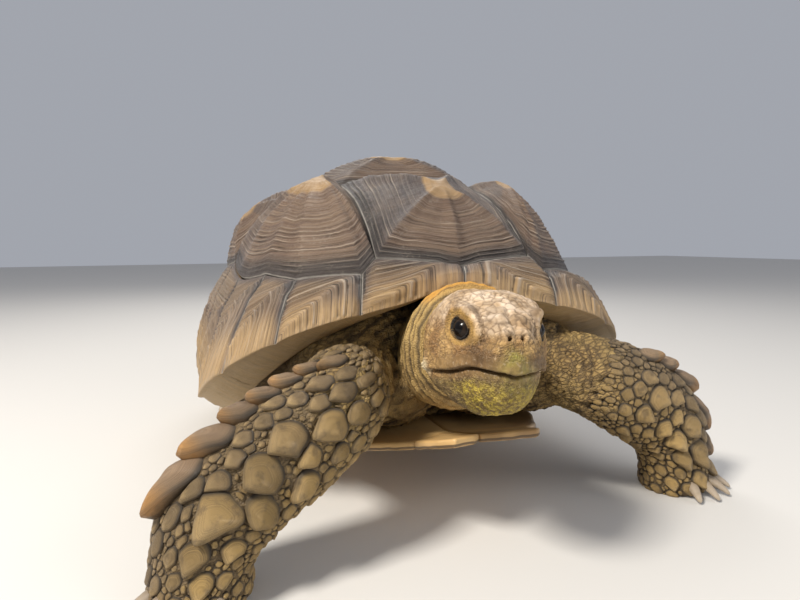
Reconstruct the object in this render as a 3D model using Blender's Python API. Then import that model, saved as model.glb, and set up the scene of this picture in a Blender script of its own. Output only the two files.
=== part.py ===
"""A sulcata tortoise, life size, standing with both forelegs spread and its head out.

Metres, +Z up. The head looks along -Y, and +X is the animal's left. While the parts are made,
x = 0 is the midline of the shell, y = 0 its middle and z = 0 the underside of the plastron. The
last lines stand the animal on z = 0 with the origin under the middle of its bounding box.

The carapace is laid out on a unit disc: u runs to the animal's left and v to its tail, and dome()
lifts the disc onto the shell. Directions on the disc are degrees away from the head.
"""
import math

import bmesh
import bpy
import numpy as np

# ---- sizes of the shell ----
CLEARANCE = 0.055          # ground to plastron
HALF_LENGTH = 0.250        # of the carapace, before its rim flares
HALF_WIDTH = 0.191
TOP = 0.242                # highest point of the bare dome above the plastron
RIM_FRONT, RIM_SIDE, RIM_BACK = 0.121, 0.028, 0.055   # height of the rim
STEEP_FRONT, STEEP_SIDE, STEEP_BACK = 1.14, 1.41, 1.25   # how far each flank bends down, radians
FULLNESS = 2.41            # 2 is a round dome, more is boxier
OUTLINE = 2.78             # the same for the outline from above
SCUTE = 0.006              # thickness of the plates
GAP = 0.0003               # between pieces that touch
VERTEBRAL_RISES = (0.020, 0.020, 0.015, 0.014, 0.014)
COSTAL_RISES = (0.019, 0.015, 0.013, 0.013)
MARGINAL_SEAMS = (25, 40, 51, 68, 84, 98, 112, 127, 142, 155, 167)
COSTAL_SEAMS = (22, 84, 106, 130, 160)       # where costal seams reach the marginals
RING = ((0, 0.894), (6, 0.870), (22, 0.842), (25, 0.892), (40, 0.850), (51, 0.772), (84, 0.660),
        (110, 0.700), (150, 0.800), (180, 0.830))   # inner edge of the marginals: direction, radius
SPINE = ((0.215, -0.256), (0.330, -0.150), (0.225, -0.040), (0.300, 0.060), (0.205, 0.165),
         (0.285, 0.310), (0.175, 0.450))   # corners of the vertebrals on the left, on the disc

# ---- sizes of the body ----
PLASTRON = 0.007
TRUNK_ROOM = 0.0038        # between the plates and the trunk, which both have flat facets
FRONT_WALL, BACK_WALL = -0.165, 0.140        # where neck, legs and tail leave the trunk
HEAD_AT = (-0.020, -0.322, 0.098)
HEAD_TURN, HEAD_LIFT = -9.5, 4.0             # degrees: towards its right, nose up
EYE_AT, EYE_RADIUS = (0.0226, -0.0150, 0.0160), 0.0085
SKIN = (0.33, 0.26, 0.15)
HORN = (0.42, 0.29, 0.17)


def smooth(x):
    x = np.clip(x, 0, 1)
    return x * x * (3 - 2 * x)


def unit(vector):
    return vector / np.linalg.norm(vector, axis=-1, keepdims=True)


def polar(radius, degrees, side=1):
    """Disc point at a radius and a direction away from the head; side is 1 for the left."""
    a = math.radians(degrees)
    return np.array([side * radius * math.sin(a), -radius * math.cos(a)])


def dome(uv):
    """Point of the smooth carapace over each disc point."""
    uv = np.asarray(uv, float)
    rho = np.maximum(np.linalg.norm(uv, axis=-1), 1e-6)
    across, along = uv[..., 0] / rho, np.where(rho < 2e-6, -1, uv[..., 1] / rho)
    turn = np.degrees(np.arccos(np.clip(-along, -1, 1)))
    front, back = np.clip(-along, 0, 1), np.clip(along, 0, 1)
    square = (np.abs(across) ** OUTLINE + np.abs(along) ** OUTLINE) ** (-1 / OUTLINE)
    steep = STEEP_SIDE + (STEEP_FRONT - STEEP_SIDE) * front**2 + (STEEP_BACK - STEEP_SIDE) * back**2
    flare = 0.006 - 0.013 * front + 0.014 * back + 0.030 * np.exp(-(((turn - 50) / 22) ** 2))
    flare *= np.clip((rho - 0.72) / 0.28, 0, 1) ** 2
    rim = RIM_SIDE + (RIM_FRONT - RIM_SIDE) * smooth((-along - 0.3) / 0.7)
    rim += (RIM_BACK - RIM_SIDE) * back**2
    out = np.abs(np.sin(steep * rho) / np.sin(steep)) ** (2 / FULLNESS)
    up = np.clip((np.cos(steep * rho) - np.cos(steep)) / (1 - np.cos(steep)), 0, None)
    z = rim + (TOP - rim) * up ** (2 / FULLNESS)
    z += 0.016 * np.exp(-((turn / 13) ** 2)) * smooth((rho - 0.86) / 0.14)   # arch over the neck
    x = (HALF_WIDTH * out + flare) * across * square
    y = (HALF_LENGTH * out + flare) * along * square
    return np.stack([x, y, z], -1)


def outward(uv, step=0.004):
    """Unit normal of the smooth carapace, pointing out."""
    uv = np.asarray(uv, float)
    du, dv = np.array([step, 0]), np.array([0, step])
    n = unit(np.cross(dome(uv + du) - dome(uv - du), dome(uv + dv) - dome(uv - dv)))
    facing = n[..., 2] + 3 * (n[..., 0] * uv[..., 0] + n[..., 1] * uv[..., 1])
    return n * np.where(facing < 0, -1, 1)[..., None]


def ring(degrees, side=1):
    """Disc point on the seam between the marginals and the rest."""
    turns, radii = zip(*RING)
    return polar(float(np.interp(degrees, turns, radii)), degrees, side)


STATIONS = sorted({0, 180, *MARGINAL_SEAMS, *COSTAL_SEAMS})


def ring_path(start, end, side):
    """Seam points from one direction to another, at every station between."""
    return [ring(a, side) for a in STATIONS if start <= a <= end]


# ---- meshes ----
def new_object(name, points, faces, color, rough=0.6, smooth_shade=True):
    mesh = bpy.data.meshes.new(name)
    mesh.from_pydata([tuple(map(float, p)) for p in points], [], [tuple(f) for f in faces])
    body = bmesh.new()
    body.from_mesh(mesh)
    bmesh.ops.recalc_face_normals(body, faces=body.faces)
    body.to_mesh(mesh)
    body.free()
    mesh.shade_smooth() if smooth_shade else mesh.shade_flat()
    material = bpy.data.materials.new(name)
    material.use_nodes = True
    shader = material.node_tree.nodes["Principled BSDF"]
    shader.inputs["Base Color"].default_value = (*color, 1)
    shader.inputs["Roughness"].default_value = rough
    mesh.materials.append(material)
    obj = bpy.data.objects.new(name, mesh)
    bpy.context.scene.collection.objects.link(obj)
    return obj


def tube(rings, capped=True):
    """Points and faces of a closed body through equal rings, each end closed round its middle."""
    n = len(rings[0])
    points = [np.asarray(p, float) for r in rings for p in r]
    faces = []
    for i in range(len(rings) - 1):
        for j in range(n):
            a, b = i * n + j, i * n + (j + 1) % n
            faces.append((a, b, b + n, a + n))
    if capped:
        last, end = len(points) - n, len(points)
        points += [sum(points[:n]) / n, sum(points[last:end]) / n]
        for j in range(n):
            k = (j + 1) % n
            faces += [(end, k, j), (end + 1, last + j, last + k)]
    return points, faces


def plate(outlines, bottoms):
    """Closed plate from matching rings: outlines run from the edge to the middle on the outside,
    bottoms the same on the inside. The last entry of each is one point."""
    rings = [*bottoms[:-1][::-1], *outlines[:-1]]
    points, faces = tube(rings, capped=False)
    n = len(rings[0])
    inner, outer = len(points), len(points) + 1
    points += [bottoms[-1], outlines[-1]]
    last = len(points) - 2 - n
    for j in range(n):
        k = (j + 1) % n
        faces += [(inner, k, j), (outer, last + j, last + k)]
    return points, faces


def subdivide(corners, parts):
    corners = np.asarray(corners, float)
    return np.concatenate([
        a + (b - a) * (np.arange(parts) / parts)[:, None]
        for a, b in zip(corners, np.roll(corners, -1, 0))
    ])


def shrink(loop, by):
    """Moves a counter-clockwise flat loop inwards, so that neighbours keep their gap."""
    edge = unit(np.roll(loop, -1, 0) - loop)
    inward = np.stack([-edge[:, 1], edge[:, 0]], -1)
    both = unit(inward + np.roll(inward, 1, 0))
    return loop + by * both / np.sum(both * inward, 1)[:, None]


def counter_clockwise(loop):
    loop = np.asarray(loop, float)
    x, y = loop.T
    return loop if np.sum(x * np.roll(y, -1) - y * np.roll(x, -1)) > 0 else loop[::-1]


def middle(loop):
    """Centre of area of a flat loop."""
    x, y = loop.T
    cross = x * np.roll(y, -1) - y * np.roll(x, -1)
    return np.array([np.sum((x + np.roll(x, -1)) * cross), np.sum((y + np.roll(y, -1)) * cross)]) \
        / (3 * np.sum(cross))


# ---- carapace ----
def scute(name, corners, rise, peak=None):
    """One raised plate: a low pyramid whose ridges run from its peak to its corners."""
    loop = subdivide(counter_clockwise(corners), 3)
    edge = shrink(loop, 0.0011)
    peak = middle(loop) if peak is None else peak
    tops, bottoms = [], []
    for share in (1, 0.72, 0.42, 0.18, 0):
        flat = peak + share * (edge - peak) if share else peak[None]
        wall = outward(peak + share * (loop - peak) if share else flat)
        tops.append(dome(flat) + wall * (rise * min(1, 1.12 * (1 - share)) - 0.0028 * (share == 1)))
        if share not in (0.72, 0.18):
            bottoms.append(dome(flat) - wall * SCUTE)
    tops[-1], bottoms[-1] = tops[-1][0], bottoms[-1][0]
    return new_object(name, *plate(tops, bottoms), HORN, 0.5)


def rim_normal(point):
    """Level direction out of the shell's outline at a rim point."""
    out = np.array([point[0] / HALF_WIDTH**2, point[1] / HALF_LENGTH**2, 0])
    return unit(out)


def lip(degrees, side):
    """Inner edge of a marginal's underside, where the skin or the bridge begins."""
    rim = dome(polar(1, degrees, side))
    width = np.interp(degrees, (0, 30, 51, 68, 112, 127, 150, 180),
                      (0.030, 0.036, 0.034, 0.024, 0.024, 0.018, 0.022, 0.030))
    drop = np.interp(degrees, (0, 20, 40, 55, 68, 112, 127, 150, 180),
                     (0.002, 0.004, 0.010, 0.020, 0.014, 0.016, 0.007, 0.004, 0.004))
    return rim - width * rim_normal(rim) - np.array([0, 0, drop])


def marginal_section(degrees, side, shift):
    """Loop round a marginal: top from the seam to the rim, then underneath and up the inside."""
    inner = ring(degrees, side)
    turned = np.array([-inner[1], inner[0]]) * side / np.linalg.norm(inner)
    outer = polar(1, degrees, side)
    step = turned * shift
    points = []
    for share, rise in ((0.012, -0.003), (0.05, -0.0015), (0.35, 0.0035), (0.72, 0.003), (1, 0.0008)):
        at = inner + share * (outer - inner) + step
        points.append(dome(at) + rise * outward(at))
    rim = dome(outer + step)
    edge, under = lip(degrees, side), rim - 0.0035 * outward(outer + step)
    move = points[-1] - dome(outer)
    under = under - 0.001 * rim_normal(rim)
    points += [under, under + 0.5 * (edge + move - under) + np.array([0, 0, -0.0015]), edge + move]
    inside = inner + 0.012 * (outer - inner) + step
    points.append(dome(inside) - SCUTE * outward(inside))
    return points


def marginal(name, sides_and_turns):
    """A rim plate through sections given as (side, degrees, shift from its seam)."""
    rings = [marginal_section(turn, side, shift) for side, turn, shift in sides_and_turns]
    points, faces = tube(rings)
    return new_object(name, points, faces, HORN, 0.5)


def marginal_turns(start, end):
    stops = [a for a in STATIONS if start <= a <= end]
    turns = []
    for a, b in zip(stops, stops[1:]):
        turns += [a, (a + b) / 2] if b - a > 8 else [a]
    return turns + [end]


def make_carapace():
    a = [np.array(SPINE) * (side, 1) for side in (1, -1)]
    (a1, b1, a2, b2, a3, b3, a4), (c1, d1, c2, d2, c3, d3, c4) = a
    left, right = ring(COSTAL_SEAMS[0], 1), ring(COSTAL_SEAMS[0], -1)
    rear = ring_path(COSTAL_SEAMS[4], 180, 1) + ring_path(COSTAL_SEAMS[4], 179, -1)[::-1]
    rows = ([ring(0), left, a1, c1, right], [c1, a1, b1, a2, c2, d1], [c2, a2, b2, a3, c3, d2],
            [c3, a3, b3, a4, c4, d3], [c4, a4, *rear])
    peaks = (polar(0.600, 0), polar(0.140, 0), None, None, None)
    for n, (corners, rise, peak) in enumerate(zip(rows, VERTEBRAL_RISES, peaks), 1):
        scute(f"vertebral_{n}", corners, rise, peak)
    for side, word in ((1, "left"), (-1, "right")):
        p1, q1, p2, q2, p3, q3, p4 = a[0] if side == 1 else a[1]
        spans = zip(COSTAL_SEAMS, COSTAL_SEAMS[1:])
        tops = ([q1, p1], [q2, p2, q1], [q3, p3, q2], [p4, q3])
        peaks = (polar(0.510, 42, side), None, None, None)
        for n, (span, top, rise, peak) in enumerate(zip(spans, tops, COSTAL_RISES, peaks), 1):
            scute(f"costal_{word}_{n}", ring_path(*span, side) + top, rise, peak)
        stops = [0, *MARGINAL_SEAMS]
        for n, (start, end) in enumerate(zip(stops, stops[1:]), 1):
            turns = marginal_turns(start, end)
            shifts = [0.0011] + [0] * (len(turns) - 2) + [-0.0011]
            marginal(f"marginal_{word}_{n}", [(side, t, s) for t, s in zip(turns, shifts)])
    turns = marginal_turns(MARGINAL_SEAMS[-1], 180)
    rows = [(-1, t, 0.0011 * (i == 0)) for i, t in enumerate(turns)]
    rows += [(1, t, 0.0011 * (i == 0)) for i, t in enumerate(turns)][-2::-1]
    marginal("supracaudal", rows)


# ---- plastron ----
def bridge(degrees):
    edge = lip(degrees, 1)
    return tuple((edge - 0.0012 * rim_normal(edge))[:2])


SEAM_POINTS = ((0, -0.268), (0, -0.212), (0, -0.122), (0, -0.080), (0, 0.085), (0, 0.152), (0, 0.198))


def plastron_plates():
    """Outline of each plate on the animal's left, seen from above."""
    m = SEAM_POINTS
    return {
        "gular": [m[0], (0.012, -0.284), (0.034, -0.298), (0.043, -0.286), (0.050, -0.258), m[1]],
        "humeral": [m[1], (0.050, -0.258), (0.080, -0.222), (0.098, -0.188), (0.108, -0.152), m[2]],
        "pectoral": [m[2], (0.108, -0.152), (0.124, -0.134), (0.146, -0.118), bridge(66),
                     bridge(74), m[3]],
        "abdominal": [m[3], bridge(74), bridge(82), bridge(90), bridge(98), bridge(105),
                      bridge(112), (0.140, 0.106), (0.113, 0.122), m[4]],
        "femoral": [m[4], (0.113, 0.122), (0.094, 0.146), (0.086, 0.172), (0.076, 0.196), m[5]],
        "anal": [m[5], (0.076, 0.196), (0.063, 0.220), (0.048, 0.232), (0.030, 0.226), m[6]],
    }


def plastron_height(xy):
    """Underside of the plastron: flat, turned up to the bridges, the gulars and the anals."""
    x, y = np.abs(xy[..., 0]), xy[..., 1]
    side = smooth((x - 0.115) / 0.06) * smooth((0.150 - np.abs(y)) / 0.03)
    edge = np.array([lip(84, 1)[2]])[0]
    return edge * side + 0.026 * np.clip((-y - 0.20) / 0.10, 0, 1) ** 1.3 \
        + 0.016 * np.clip((y - 0.16) / 0.07, 0, 1) ** 1.6


def make_plastron():
    for side, word in ((1, "left"), (-1, "right")):
        for name, corners in plastron_plates().items():
            mirrored = np.array(corners) * (side, 1)
            loop = shrink(subdivide(counter_clockwise(mirrored), 2), 0.00017)
            centre = middle(loop)
            tops, bottoms = [], []
            for share in (1, 0.5, 0):
                flat = centre + share * (loop - centre) if share else centre
                z = plastron_height(flat)
                tops.append(np.concatenate([flat, (z + PLASTRON)[..., None]], -1))
                bottoms.append(np.concatenate([flat, z[..., None]], -1))
            new_object(f"{name}_{word}", *plate(tops, bottoms), (0.55, 0.42, 0.24), 0.5)


# ---- trunk ----
def inside(side, degrees, radius):
    """Point under the plates, with room for the flat facets of both."""
    flat = polar(radius, degrees, side)
    return dome(flat) - (SCUTE + TRUNK_ROOM) * outward(flat)


def trunk_column(side, degrees):
    """Points from near the crown out to the rim or a limb wall, and down to the plastron."""
    wall = FRONT_WALL if degrees < 90 else BACK_WALL
    limit = float(np.interp(degrees, *zip(*RING)))
    end = limit
    if abs(inside(side, degrees, limit)[1]) > abs(wall):
        low, high = 0.1, limit
        for _ in range(30):
            end = (low + high) / 2
            low, high = (end, high) if abs(inside(side, degrees, end)[1]) < abs(wall) else (low, end)
    points = [inside(side, degrees, f * end) for f in (0.25, 0.5, 0.75, 1)]
    edge = lip(degrees, side)
    if end < limit:
        points[-1][1] = wall
        x, top = points[-1][0], points[-1][2]
        points += [np.array([x, wall, 0.4 * top]), np.array([x, wall, 0])]
    else:
        points.append(edge - 0.0045 * rim_normal(edge) + (0, 0, 0.009))
        points.append(edge - 0.012 * rim_normal(edge))
        for p in points:
            p[1] = np.clip(p[1], FRONT_WALL, BACK_WALL)
    points[-1][2] = plastron_height(points[-1][:2]) + PLASTRON + (0.0045 if end == limit else 0.001)
    floor = points[-1] * (0.5, 0.92 if end == limit else 1, 1)
    floor[2] = PLASTRON + GAP
    return [*points, floor]


def make_trunk():
    """Fills the shell a little inside the plates, cut square where neck, legs and tail leave it."""
    turns = sorted({t for a, b in zip(STATIONS, STATIONS[1:]) for t in (a, (a + b) / 2)} | {180})
    around = [(1, t) for t in turns] + [(-1, t) for t in turns[-2:0:-1]]
    rings = [np.array(r) for r in zip(*(trunk_column(*at) for at in around))]
    crown = dome(np.zeros(2)) - (0, 0, SCUTE + TRUNK_ROOM)
    points, faces = plate([*rings[:4][::-1], crown], [*rings[4:], np.array([0, 0, PLASTRON + GAP])])
    return new_object("trunk", points, faces, SKIN, 0.8)


# ---- flesh ----
def section(centre, across, up, power=2.2, n=16):
    """Rounded ring about a centre, with its half axes given as vectors."""
    t = np.arange(n) / n * 2 * math.pi
    c, s = np.cos(t), np.sin(t)
    c, s = (np.sign(w) * np.abs(w) ** (2 / power) for w in (c, s))
    return np.asarray(centre) + c[:, None] * np.asarray(across) + s[:, None] * np.asarray(up)


def closed_tube(name, rings, color=SKIN):
    points, faces = tube(rings)
    return new_object(name, points, faces, color, 0.8)


def make_neck():
    """Short neck inside loose skin, which stands out as a collar round the back of the head."""
    rows = ((FRONT_WALL - GAP, 0.000, 0.076, 0.044, 0.042), (-0.205, -0.001, 0.078, 0.046, 0.044),
            (-0.238, -0.003, 0.082, 0.048, 0.045), (-0.252, -0.005, 0.087, 0.0495, 0.0490),
            (-0.261, -0.006, 0.089, 0.0485, 0.0490), (-0.267, -0.009, 0.090, 0.043, 0.043),
            (-0.2712, -0.011, 0.091, 0.034, 0.032))
    closed_tube("neck", [section((x, y, z), (a, 0, 0), (0, 0, b)) for y, x, z, a, b in rows])


def head_frame(points):
    """Takes points from the head's own axes to their place on the animal."""
    turn, lift = math.radians(HEAD_TURN), math.radians(HEAD_LIFT)
    points = np.asarray(points, float)
    y = points[..., 1] * math.cos(lift) + points[..., 2] * math.sin(lift)
    z = points[..., 2] * math.cos(lift) - points[..., 1] * math.sin(lift)
    x = points[..., 0] * math.cos(turn) - y * math.sin(turn)
    y = points[..., 0] * math.sin(turn) + y * math.cos(turn)
    return np.stack([x, y, z], -1) + HEAD_AT


def head_ring(y, width, top, widest, bottom, power=2.3, n=16):
    t = np.arange(n) / n * 2 * math.pi
    c, s = (np.sign(w) * np.abs(w) ** (2 / power) for w in (np.cos(t), np.sin(t)))
    z = widest + np.where(s > 0, (top - widest) * s, (widest - bottom) * s)
    return head_frame(np.stack([width * c, np.full(n, y), z], -1))


def make_head():
    """Blunt head, widest over the jaw joint; the step underneath takes the lower jaw."""
    rows = ((0.046, 0.026, 0.022, -0.004, -0.028), (0.036, 0.0365, 0.0335, -0.004, -0.034),
            (0.022, 0.0402, 0.0397, -0.003, -0.0375), (0.0145, 0.0408, 0.0413, -0.003, -0.0385),
            (0.0140, 0.0408, 0.0413, 0.002, -0.0125), (0.002, 0.0385, 0.0405, 0.003, -0.0105),
            (-0.012, 0.0325, 0.0362, 0.003, -0.0092), (-0.024, 0.0250, 0.0305, 0.002, -0.0092),
            (-0.035, 0.0175, 0.0232, 0.002, -0.0107), (-0.043, 0.0120, 0.0170, 0.001, -0.0130),
            (-0.049, 0.0065, 0.0100, -0.002, -0.0135))
    head = closed_tube("head", [head_ring(*r) for r in rows])
    jaw = ((0.0135, 0.0365, -0.0130, -0.022, -0.0410), (0.002, 0.0330, -0.0110, -0.022, -0.0425),
           (-0.012, 0.0275, -0.0097, -0.021, -0.0412), (-0.024, 0.0210, -0.0097, -0.020, -0.0375),
           (-0.034, 0.0140, -0.0112, -0.019, -0.0320), (-0.0405, 0.0075, -0.0138, -0.020, -0.0265))
    closed_tube("lower_jaw", [head_ring(*r) for r in jaw], (0.40, 0.36, 0.16))
    for side, word in ((1, "left"), (-1, "right")):
        centre = np.array(EYE_AT) * (side, 1, 1)
        socket = ball(f"socket_{word}", centre, EYE_RADIUS + GAP)
        cut(head, socket, "DIFFERENCE")
        ball(f"eye_{word}", centre, EYE_RADIUS, (0.02, 0.015, 0.01))


def ball(name, centre, radius, color=SKIN):
    """Ball in the head's own axes, its poles to the sides."""
    rings = []
    for a in np.radians(np.arange(-72, 73, 24)):
        r = radius * math.cos(a)
        t = np.arange(12) / 12 * 2 * math.pi
        rings.append(head_frame(np.stack([
            np.full(12, radius * math.sin(a)), r * np.cos(t), r * np.sin(t)], -1) + centre))
    low, high = (head_frame(centre + (w * radius, 0, 0)) for w in (-1, 1))
    points, faces = tube(rings, capped=False)
    n = len(points)
    points += [low, high]
    for j in range(12):
        k = (j + 1) % 12
        faces += [(n, k, j), (n + 1, n - 12 + j, n - 12 + k)]
    return new_object(name, points, faces, color, 0.1)


def cut(target, tool, operation):
    """Joins or removes a helper body, which is then hidden."""
    tool.hide_render, tool.display_type = True, "WIRE"
    change = target.modifiers.new(tool.name, "BOOLEAN")
    change.object, change.operation, change.solver = tool, operation, "EXACT"


def claw(base, tip, width):
    """Blunt horn cone from inside the toe to its tip, a little curved."""
    base, tip = np.array(base), np.array(tip)
    along = unit(tip - base)
    across = unit(np.cross(along, (0, 0, 1)))
    up = np.cross(across, along)
    rings = []
    for share, size in ((0, 1), (0.45, 0.95), (0.8, 0.62), (1, 0.22)):
        centre = base + share * (tip - base) + up * 0.10 * np.linalg.norm(tip - base) \
            * math.sin(math.pi * share)
        rings.append(section(centre, -across * width * size, up * width * 0.8 * size, 2, 8))
    return tube(rings)


def leg(name, rows, claws, claw_width):
    """A limb through rings given as (centre, half axis across, half axis up), with its claws."""
    body = closed_tube(name, [section(*row) for row in rows])
    points, faces = [], []
    for base, tip in claws:
        more, cells = claw(base, tip, claw_width)
        faces += [[i + len(points) for i in f] for f in cells]
        points += more
    tool = new_object(f"{name}_claws", points, faces, (0.45, 0.36, 0.25), 0.4)
    cut(body, tool, "UNION")


FORELEG_SIZES = ((0, 0.036, 0.041), (0.5, 0.034, 0.036), (1, 0.037, 0.033), (1.5, 0.041, 0.031),
                 (2, 0.040, 0.030), (2.5, 0.034, 0.029), (2.85, 0.034, 0.033), (3, 0.031, 0.030))


def curve(stops, s):
    """Smooth path through the stops, one unit of s between each two."""
    i = min(int(s), len(stops) - 4)
    a, b, c, d = stops[i:i + 4]
    s -= i
    return 0.5 * (2 * b + (c - a) * s + (2 * a - 5 * b + 4 * c - d) * s**2
                  + (3 * b - a - 3 * c + d) * s**3)


def make_foreleg(word, side, elbow, wrist, foot, toe_turn):
    """Upper arm forwards out of the shell, broad flat forearm outwards and down to the foot."""
    root = np.array([side * 0.094, FRONT_WALL - GAP, 0.050])
    elbow, wrist, foot = (np.array(p) * (side, 1, 1) for p in (elbow, wrist, foot))
    stops = [root + (0, 0.04, 0), root, elbow, wrist, foot, foot - (0, 0, 0.05)]
    beside = np.array([side * math.cos(toe_turn), math.sin(toe_turn), 0])
    hints = np.array([(0, 0, 1), (side * 0.3, 0, 1), (side * 0.85, 0.1, 0.5), beside])
    places, ups, acrosses = zip(*FORELEG_SIZES)
    rows = []
    for s in (0, 0.4, 0.75, 1.05, 1.35, 1.7, 2.05, 2.4, 2.75, 3):
        travel = unit(curve(stops, min(s + 0.02, 3)) - curve(stops, max(s - 0.02, 0)))
        travel = np.array([0, -1.0, 0]) if s == 0 else np.array([0, 0, -1.0]) if s == 3 else travel
        hint = np.array([np.interp(s, range(4), hints[:, k]) for k in range(3)])
        up = unit(hint - travel * np.dot(hint, travel))
        rows.append((curve(stops, s), np.cross(up, travel) * np.interp(s, places, acrosses),
                     up * np.interp(s, places, ups)))
    claws = []
    for k in range(-2, 3):
        a = toe_turn + math.radians(24 * k)
        way = np.array([side * math.sin(a), -math.cos(a), 0])
        claws.append((foot + way * 0.018 + (0, 0, 0.013), foot + way * 0.046 + (0, 0, 0.0025)))
    leg(f"foreleg_{word}", rows, claws, 0.0062)


def make_hindleg(word, side):
    """Column of a leg, standing under the back of the shell on a round flat foot."""
    ground = -CLEARANCE
    rows = []
    for x, y, z, wide, deep, tip in ((0.088, BACK_WALL + GAP, 0.044, 0.038, 0.032, 90),
                                     (0.097, 0.156, 0.043, 0.037, 0.031, 72),
                                     (0.113, 0.170, 0.032, 0.035, 0.030, 45),
                                     (0.127, 0.177, 0.010, 0.033, 0.031, 16),
                                     (0.133, 0.179, -0.018, 0.032, 0.032, 0),
                                     (0.135, 0.178, -0.044, 0.035, 0.036, 0),
                                     (0.135, 0.177, ground, 0.033, 0.034, 0)):
        a = math.radians(tip)
        rows.append(((side * x, y, z), np.array([wide, 0, 0]),
                     np.array([0, deep * math.cos(a), deep * math.sin(a)])))
    claws = []
    for k in (-1.5, -0.5, 0.5, 1.5):
        a = math.radians(12 + 25 * k)
        way = np.array([side * math.sin(a), -math.cos(a), 0])
        foot = np.array([side * 0.135, 0.177, ground])
        claws.append((foot + way * 0.026 + (0, 0, 0.012), foot + way * 0.049 + (0, 0, 0.003)))
    leg(f"hindleg_{word}", rows, claws, 0.0064)


def make_tail():
    rows = ((0, BACK_WALL + GAP, 0.036, 0.026, 0.020, 90), (0.001, 0.180, 0.037, 0.024, 0.018, 88),
            (0.003, 0.215, 0.034, 0.020, 0.0145, 70), (0.008, 0.240, 0.018, 0.015, 0.012, 40),
            (0.013, 0.252, -0.002, 0.009, 0.008, 20), (0.016, 0.256, -0.018, 0.003, 0.003, 12))
    rings = []
    for x, y, z, wide, deep, tip in rows:
        a = math.radians(tip)
        rings.append(section((x, y, z), (wide, 0, 0), (0, deep * math.cos(a), deep * math.sin(a)), n=12))
    closed_tube("tail", rings)


def stand():
    """Puts z = 0 under the feet and the origin under the middle of the bounding box."""
    meshes = [o.data for o in bpy.data.objects if o.type == "MESH"]
    points = np.array([v.co for m in meshes for v in m.vertices])
    low, high = points.min(0), points.max(0)
    move = np.array([-(low[0] + high[0]) / 2, -(low[1] + high[1]) / 2, CLEARANCE])
    for mesh in meshes:
        for v in mesh.vertices:
            v.co = np.array(v.co) + move
        mesh.update()


for old in list(bpy.data.objects):
    bpy.data.objects.remove(old)
make_carapace()
make_plastron()
make_trunk()
make_neck()
make_head()
make_foreleg("right", -1, (0.108, -0.262, 0.058), (0.192, -0.285, 0.003),
             (0.209, -0.289, -CLEARANCE), math.radians(30))
make_foreleg("left", 1, (0.116, -0.243, 0.056), (0.191, -0.250, 0.012),
             (0.212, -0.251, -CLEARANCE), math.radians(30))
make_hindleg("left", 1)
make_hindleg("right", -1)
make_tail()
stand()
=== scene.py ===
"""A sulcata tortoise dressed for show: horn plates, one skin, scales, claws and eyes.

Lengths are metres. Shapes are worked out in the shell's own axes, where x = 0 is the midline,
y = 0 the middle of the carapace and z = 0 the underside of the plastron, with the head at -y.
"""

import math

import bmesh
import bpy
import numpy as np
from mathutils import Matrix, Vector


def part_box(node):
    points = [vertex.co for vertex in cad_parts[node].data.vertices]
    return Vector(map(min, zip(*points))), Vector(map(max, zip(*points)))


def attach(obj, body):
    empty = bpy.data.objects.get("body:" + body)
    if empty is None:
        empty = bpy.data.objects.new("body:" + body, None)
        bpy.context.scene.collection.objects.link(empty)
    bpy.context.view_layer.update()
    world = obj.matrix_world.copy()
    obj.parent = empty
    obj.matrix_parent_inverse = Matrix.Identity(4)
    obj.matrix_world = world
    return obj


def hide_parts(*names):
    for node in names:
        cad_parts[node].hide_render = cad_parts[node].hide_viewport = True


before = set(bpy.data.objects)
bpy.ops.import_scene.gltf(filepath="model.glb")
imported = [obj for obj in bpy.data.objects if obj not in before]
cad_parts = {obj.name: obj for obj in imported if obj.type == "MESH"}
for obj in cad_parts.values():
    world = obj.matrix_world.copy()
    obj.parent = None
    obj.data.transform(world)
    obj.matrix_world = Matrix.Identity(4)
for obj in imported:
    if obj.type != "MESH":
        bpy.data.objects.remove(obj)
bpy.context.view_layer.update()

# ---- floor, light and camera ----
# A pale studio floor under the animal, one broad key light high on its right, a weaker fill
# from its left and a soft light behind. The camera stands low in front, a little to its right.
KEY_LIGHT = ((-1.3, -0.75, 1.7), 0.45, 62, (1.0, 0.955, 0.88))     # place, size, watts, colour
FILL_LIGHT = ((1.2, -1.5, 0.7), 1.6, 15, (0.95, 0.97, 1.0))
BACK_LIGHT = ((0.3, 1.4, 1.5), 1.2, 14, (1.0, 0.97, 0.92))
CAMERA_AT = Vector((-0.2136, -0.6295, 0.227))
CAMERA_YAW, CAMERA_PITCH, CAMERA_ROLL = 19.71, -5.57, -0.35     # degrees
LENS, SENSOR = 27.42, 36                                        # mm
SKY_COLOR, SKY_STRENGTH = (0.86, 0.9, 1.0), 0.42
FLOOR_COLOR, FLOOR_ROUGHNESS, FLOOR_REACH = (0.62, 0.6, 0.57), 0.9, 6
LIGHTS_AIM = Vector((0, 0, 0.12))


def placed(name, data):
    """A new object in the scene."""
    obj = bpy.data.objects.new(name, data)
    bpy.context.scene.collection.objects.link(obj)
    return obj


def studio_light(name, place, size, watts, color):
    """Square lamp that looks at the middle of the animal."""
    light = bpy.data.lights.new(name, "AREA")
    light.size, light.energy, light.color = size, watts, color
    obj = placed(name, light)
    obj.location = place
    obj.rotation_euler = (LIGHTS_AIM - Vector(place)).to_track_quat("-Z", "Y").to_euler()


studio_light("key_light", *KEY_LIGHT)
studio_light("fill_light", *FILL_LIGHT)
studio_light("back_light", *BACK_LIGHT)
world = bpy.data.worlds.new("studio")
world.use_nodes = True
sky = world.node_tree.nodes["Background"]
sky.inputs["Color"].default_value = (*SKY_COLOR, 1)
sky.inputs["Strength"].default_value = SKY_STRENGTH
bpy.context.scene.world = world
bpy.context.scene.view_settings.view_transform = "Standard"

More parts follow.
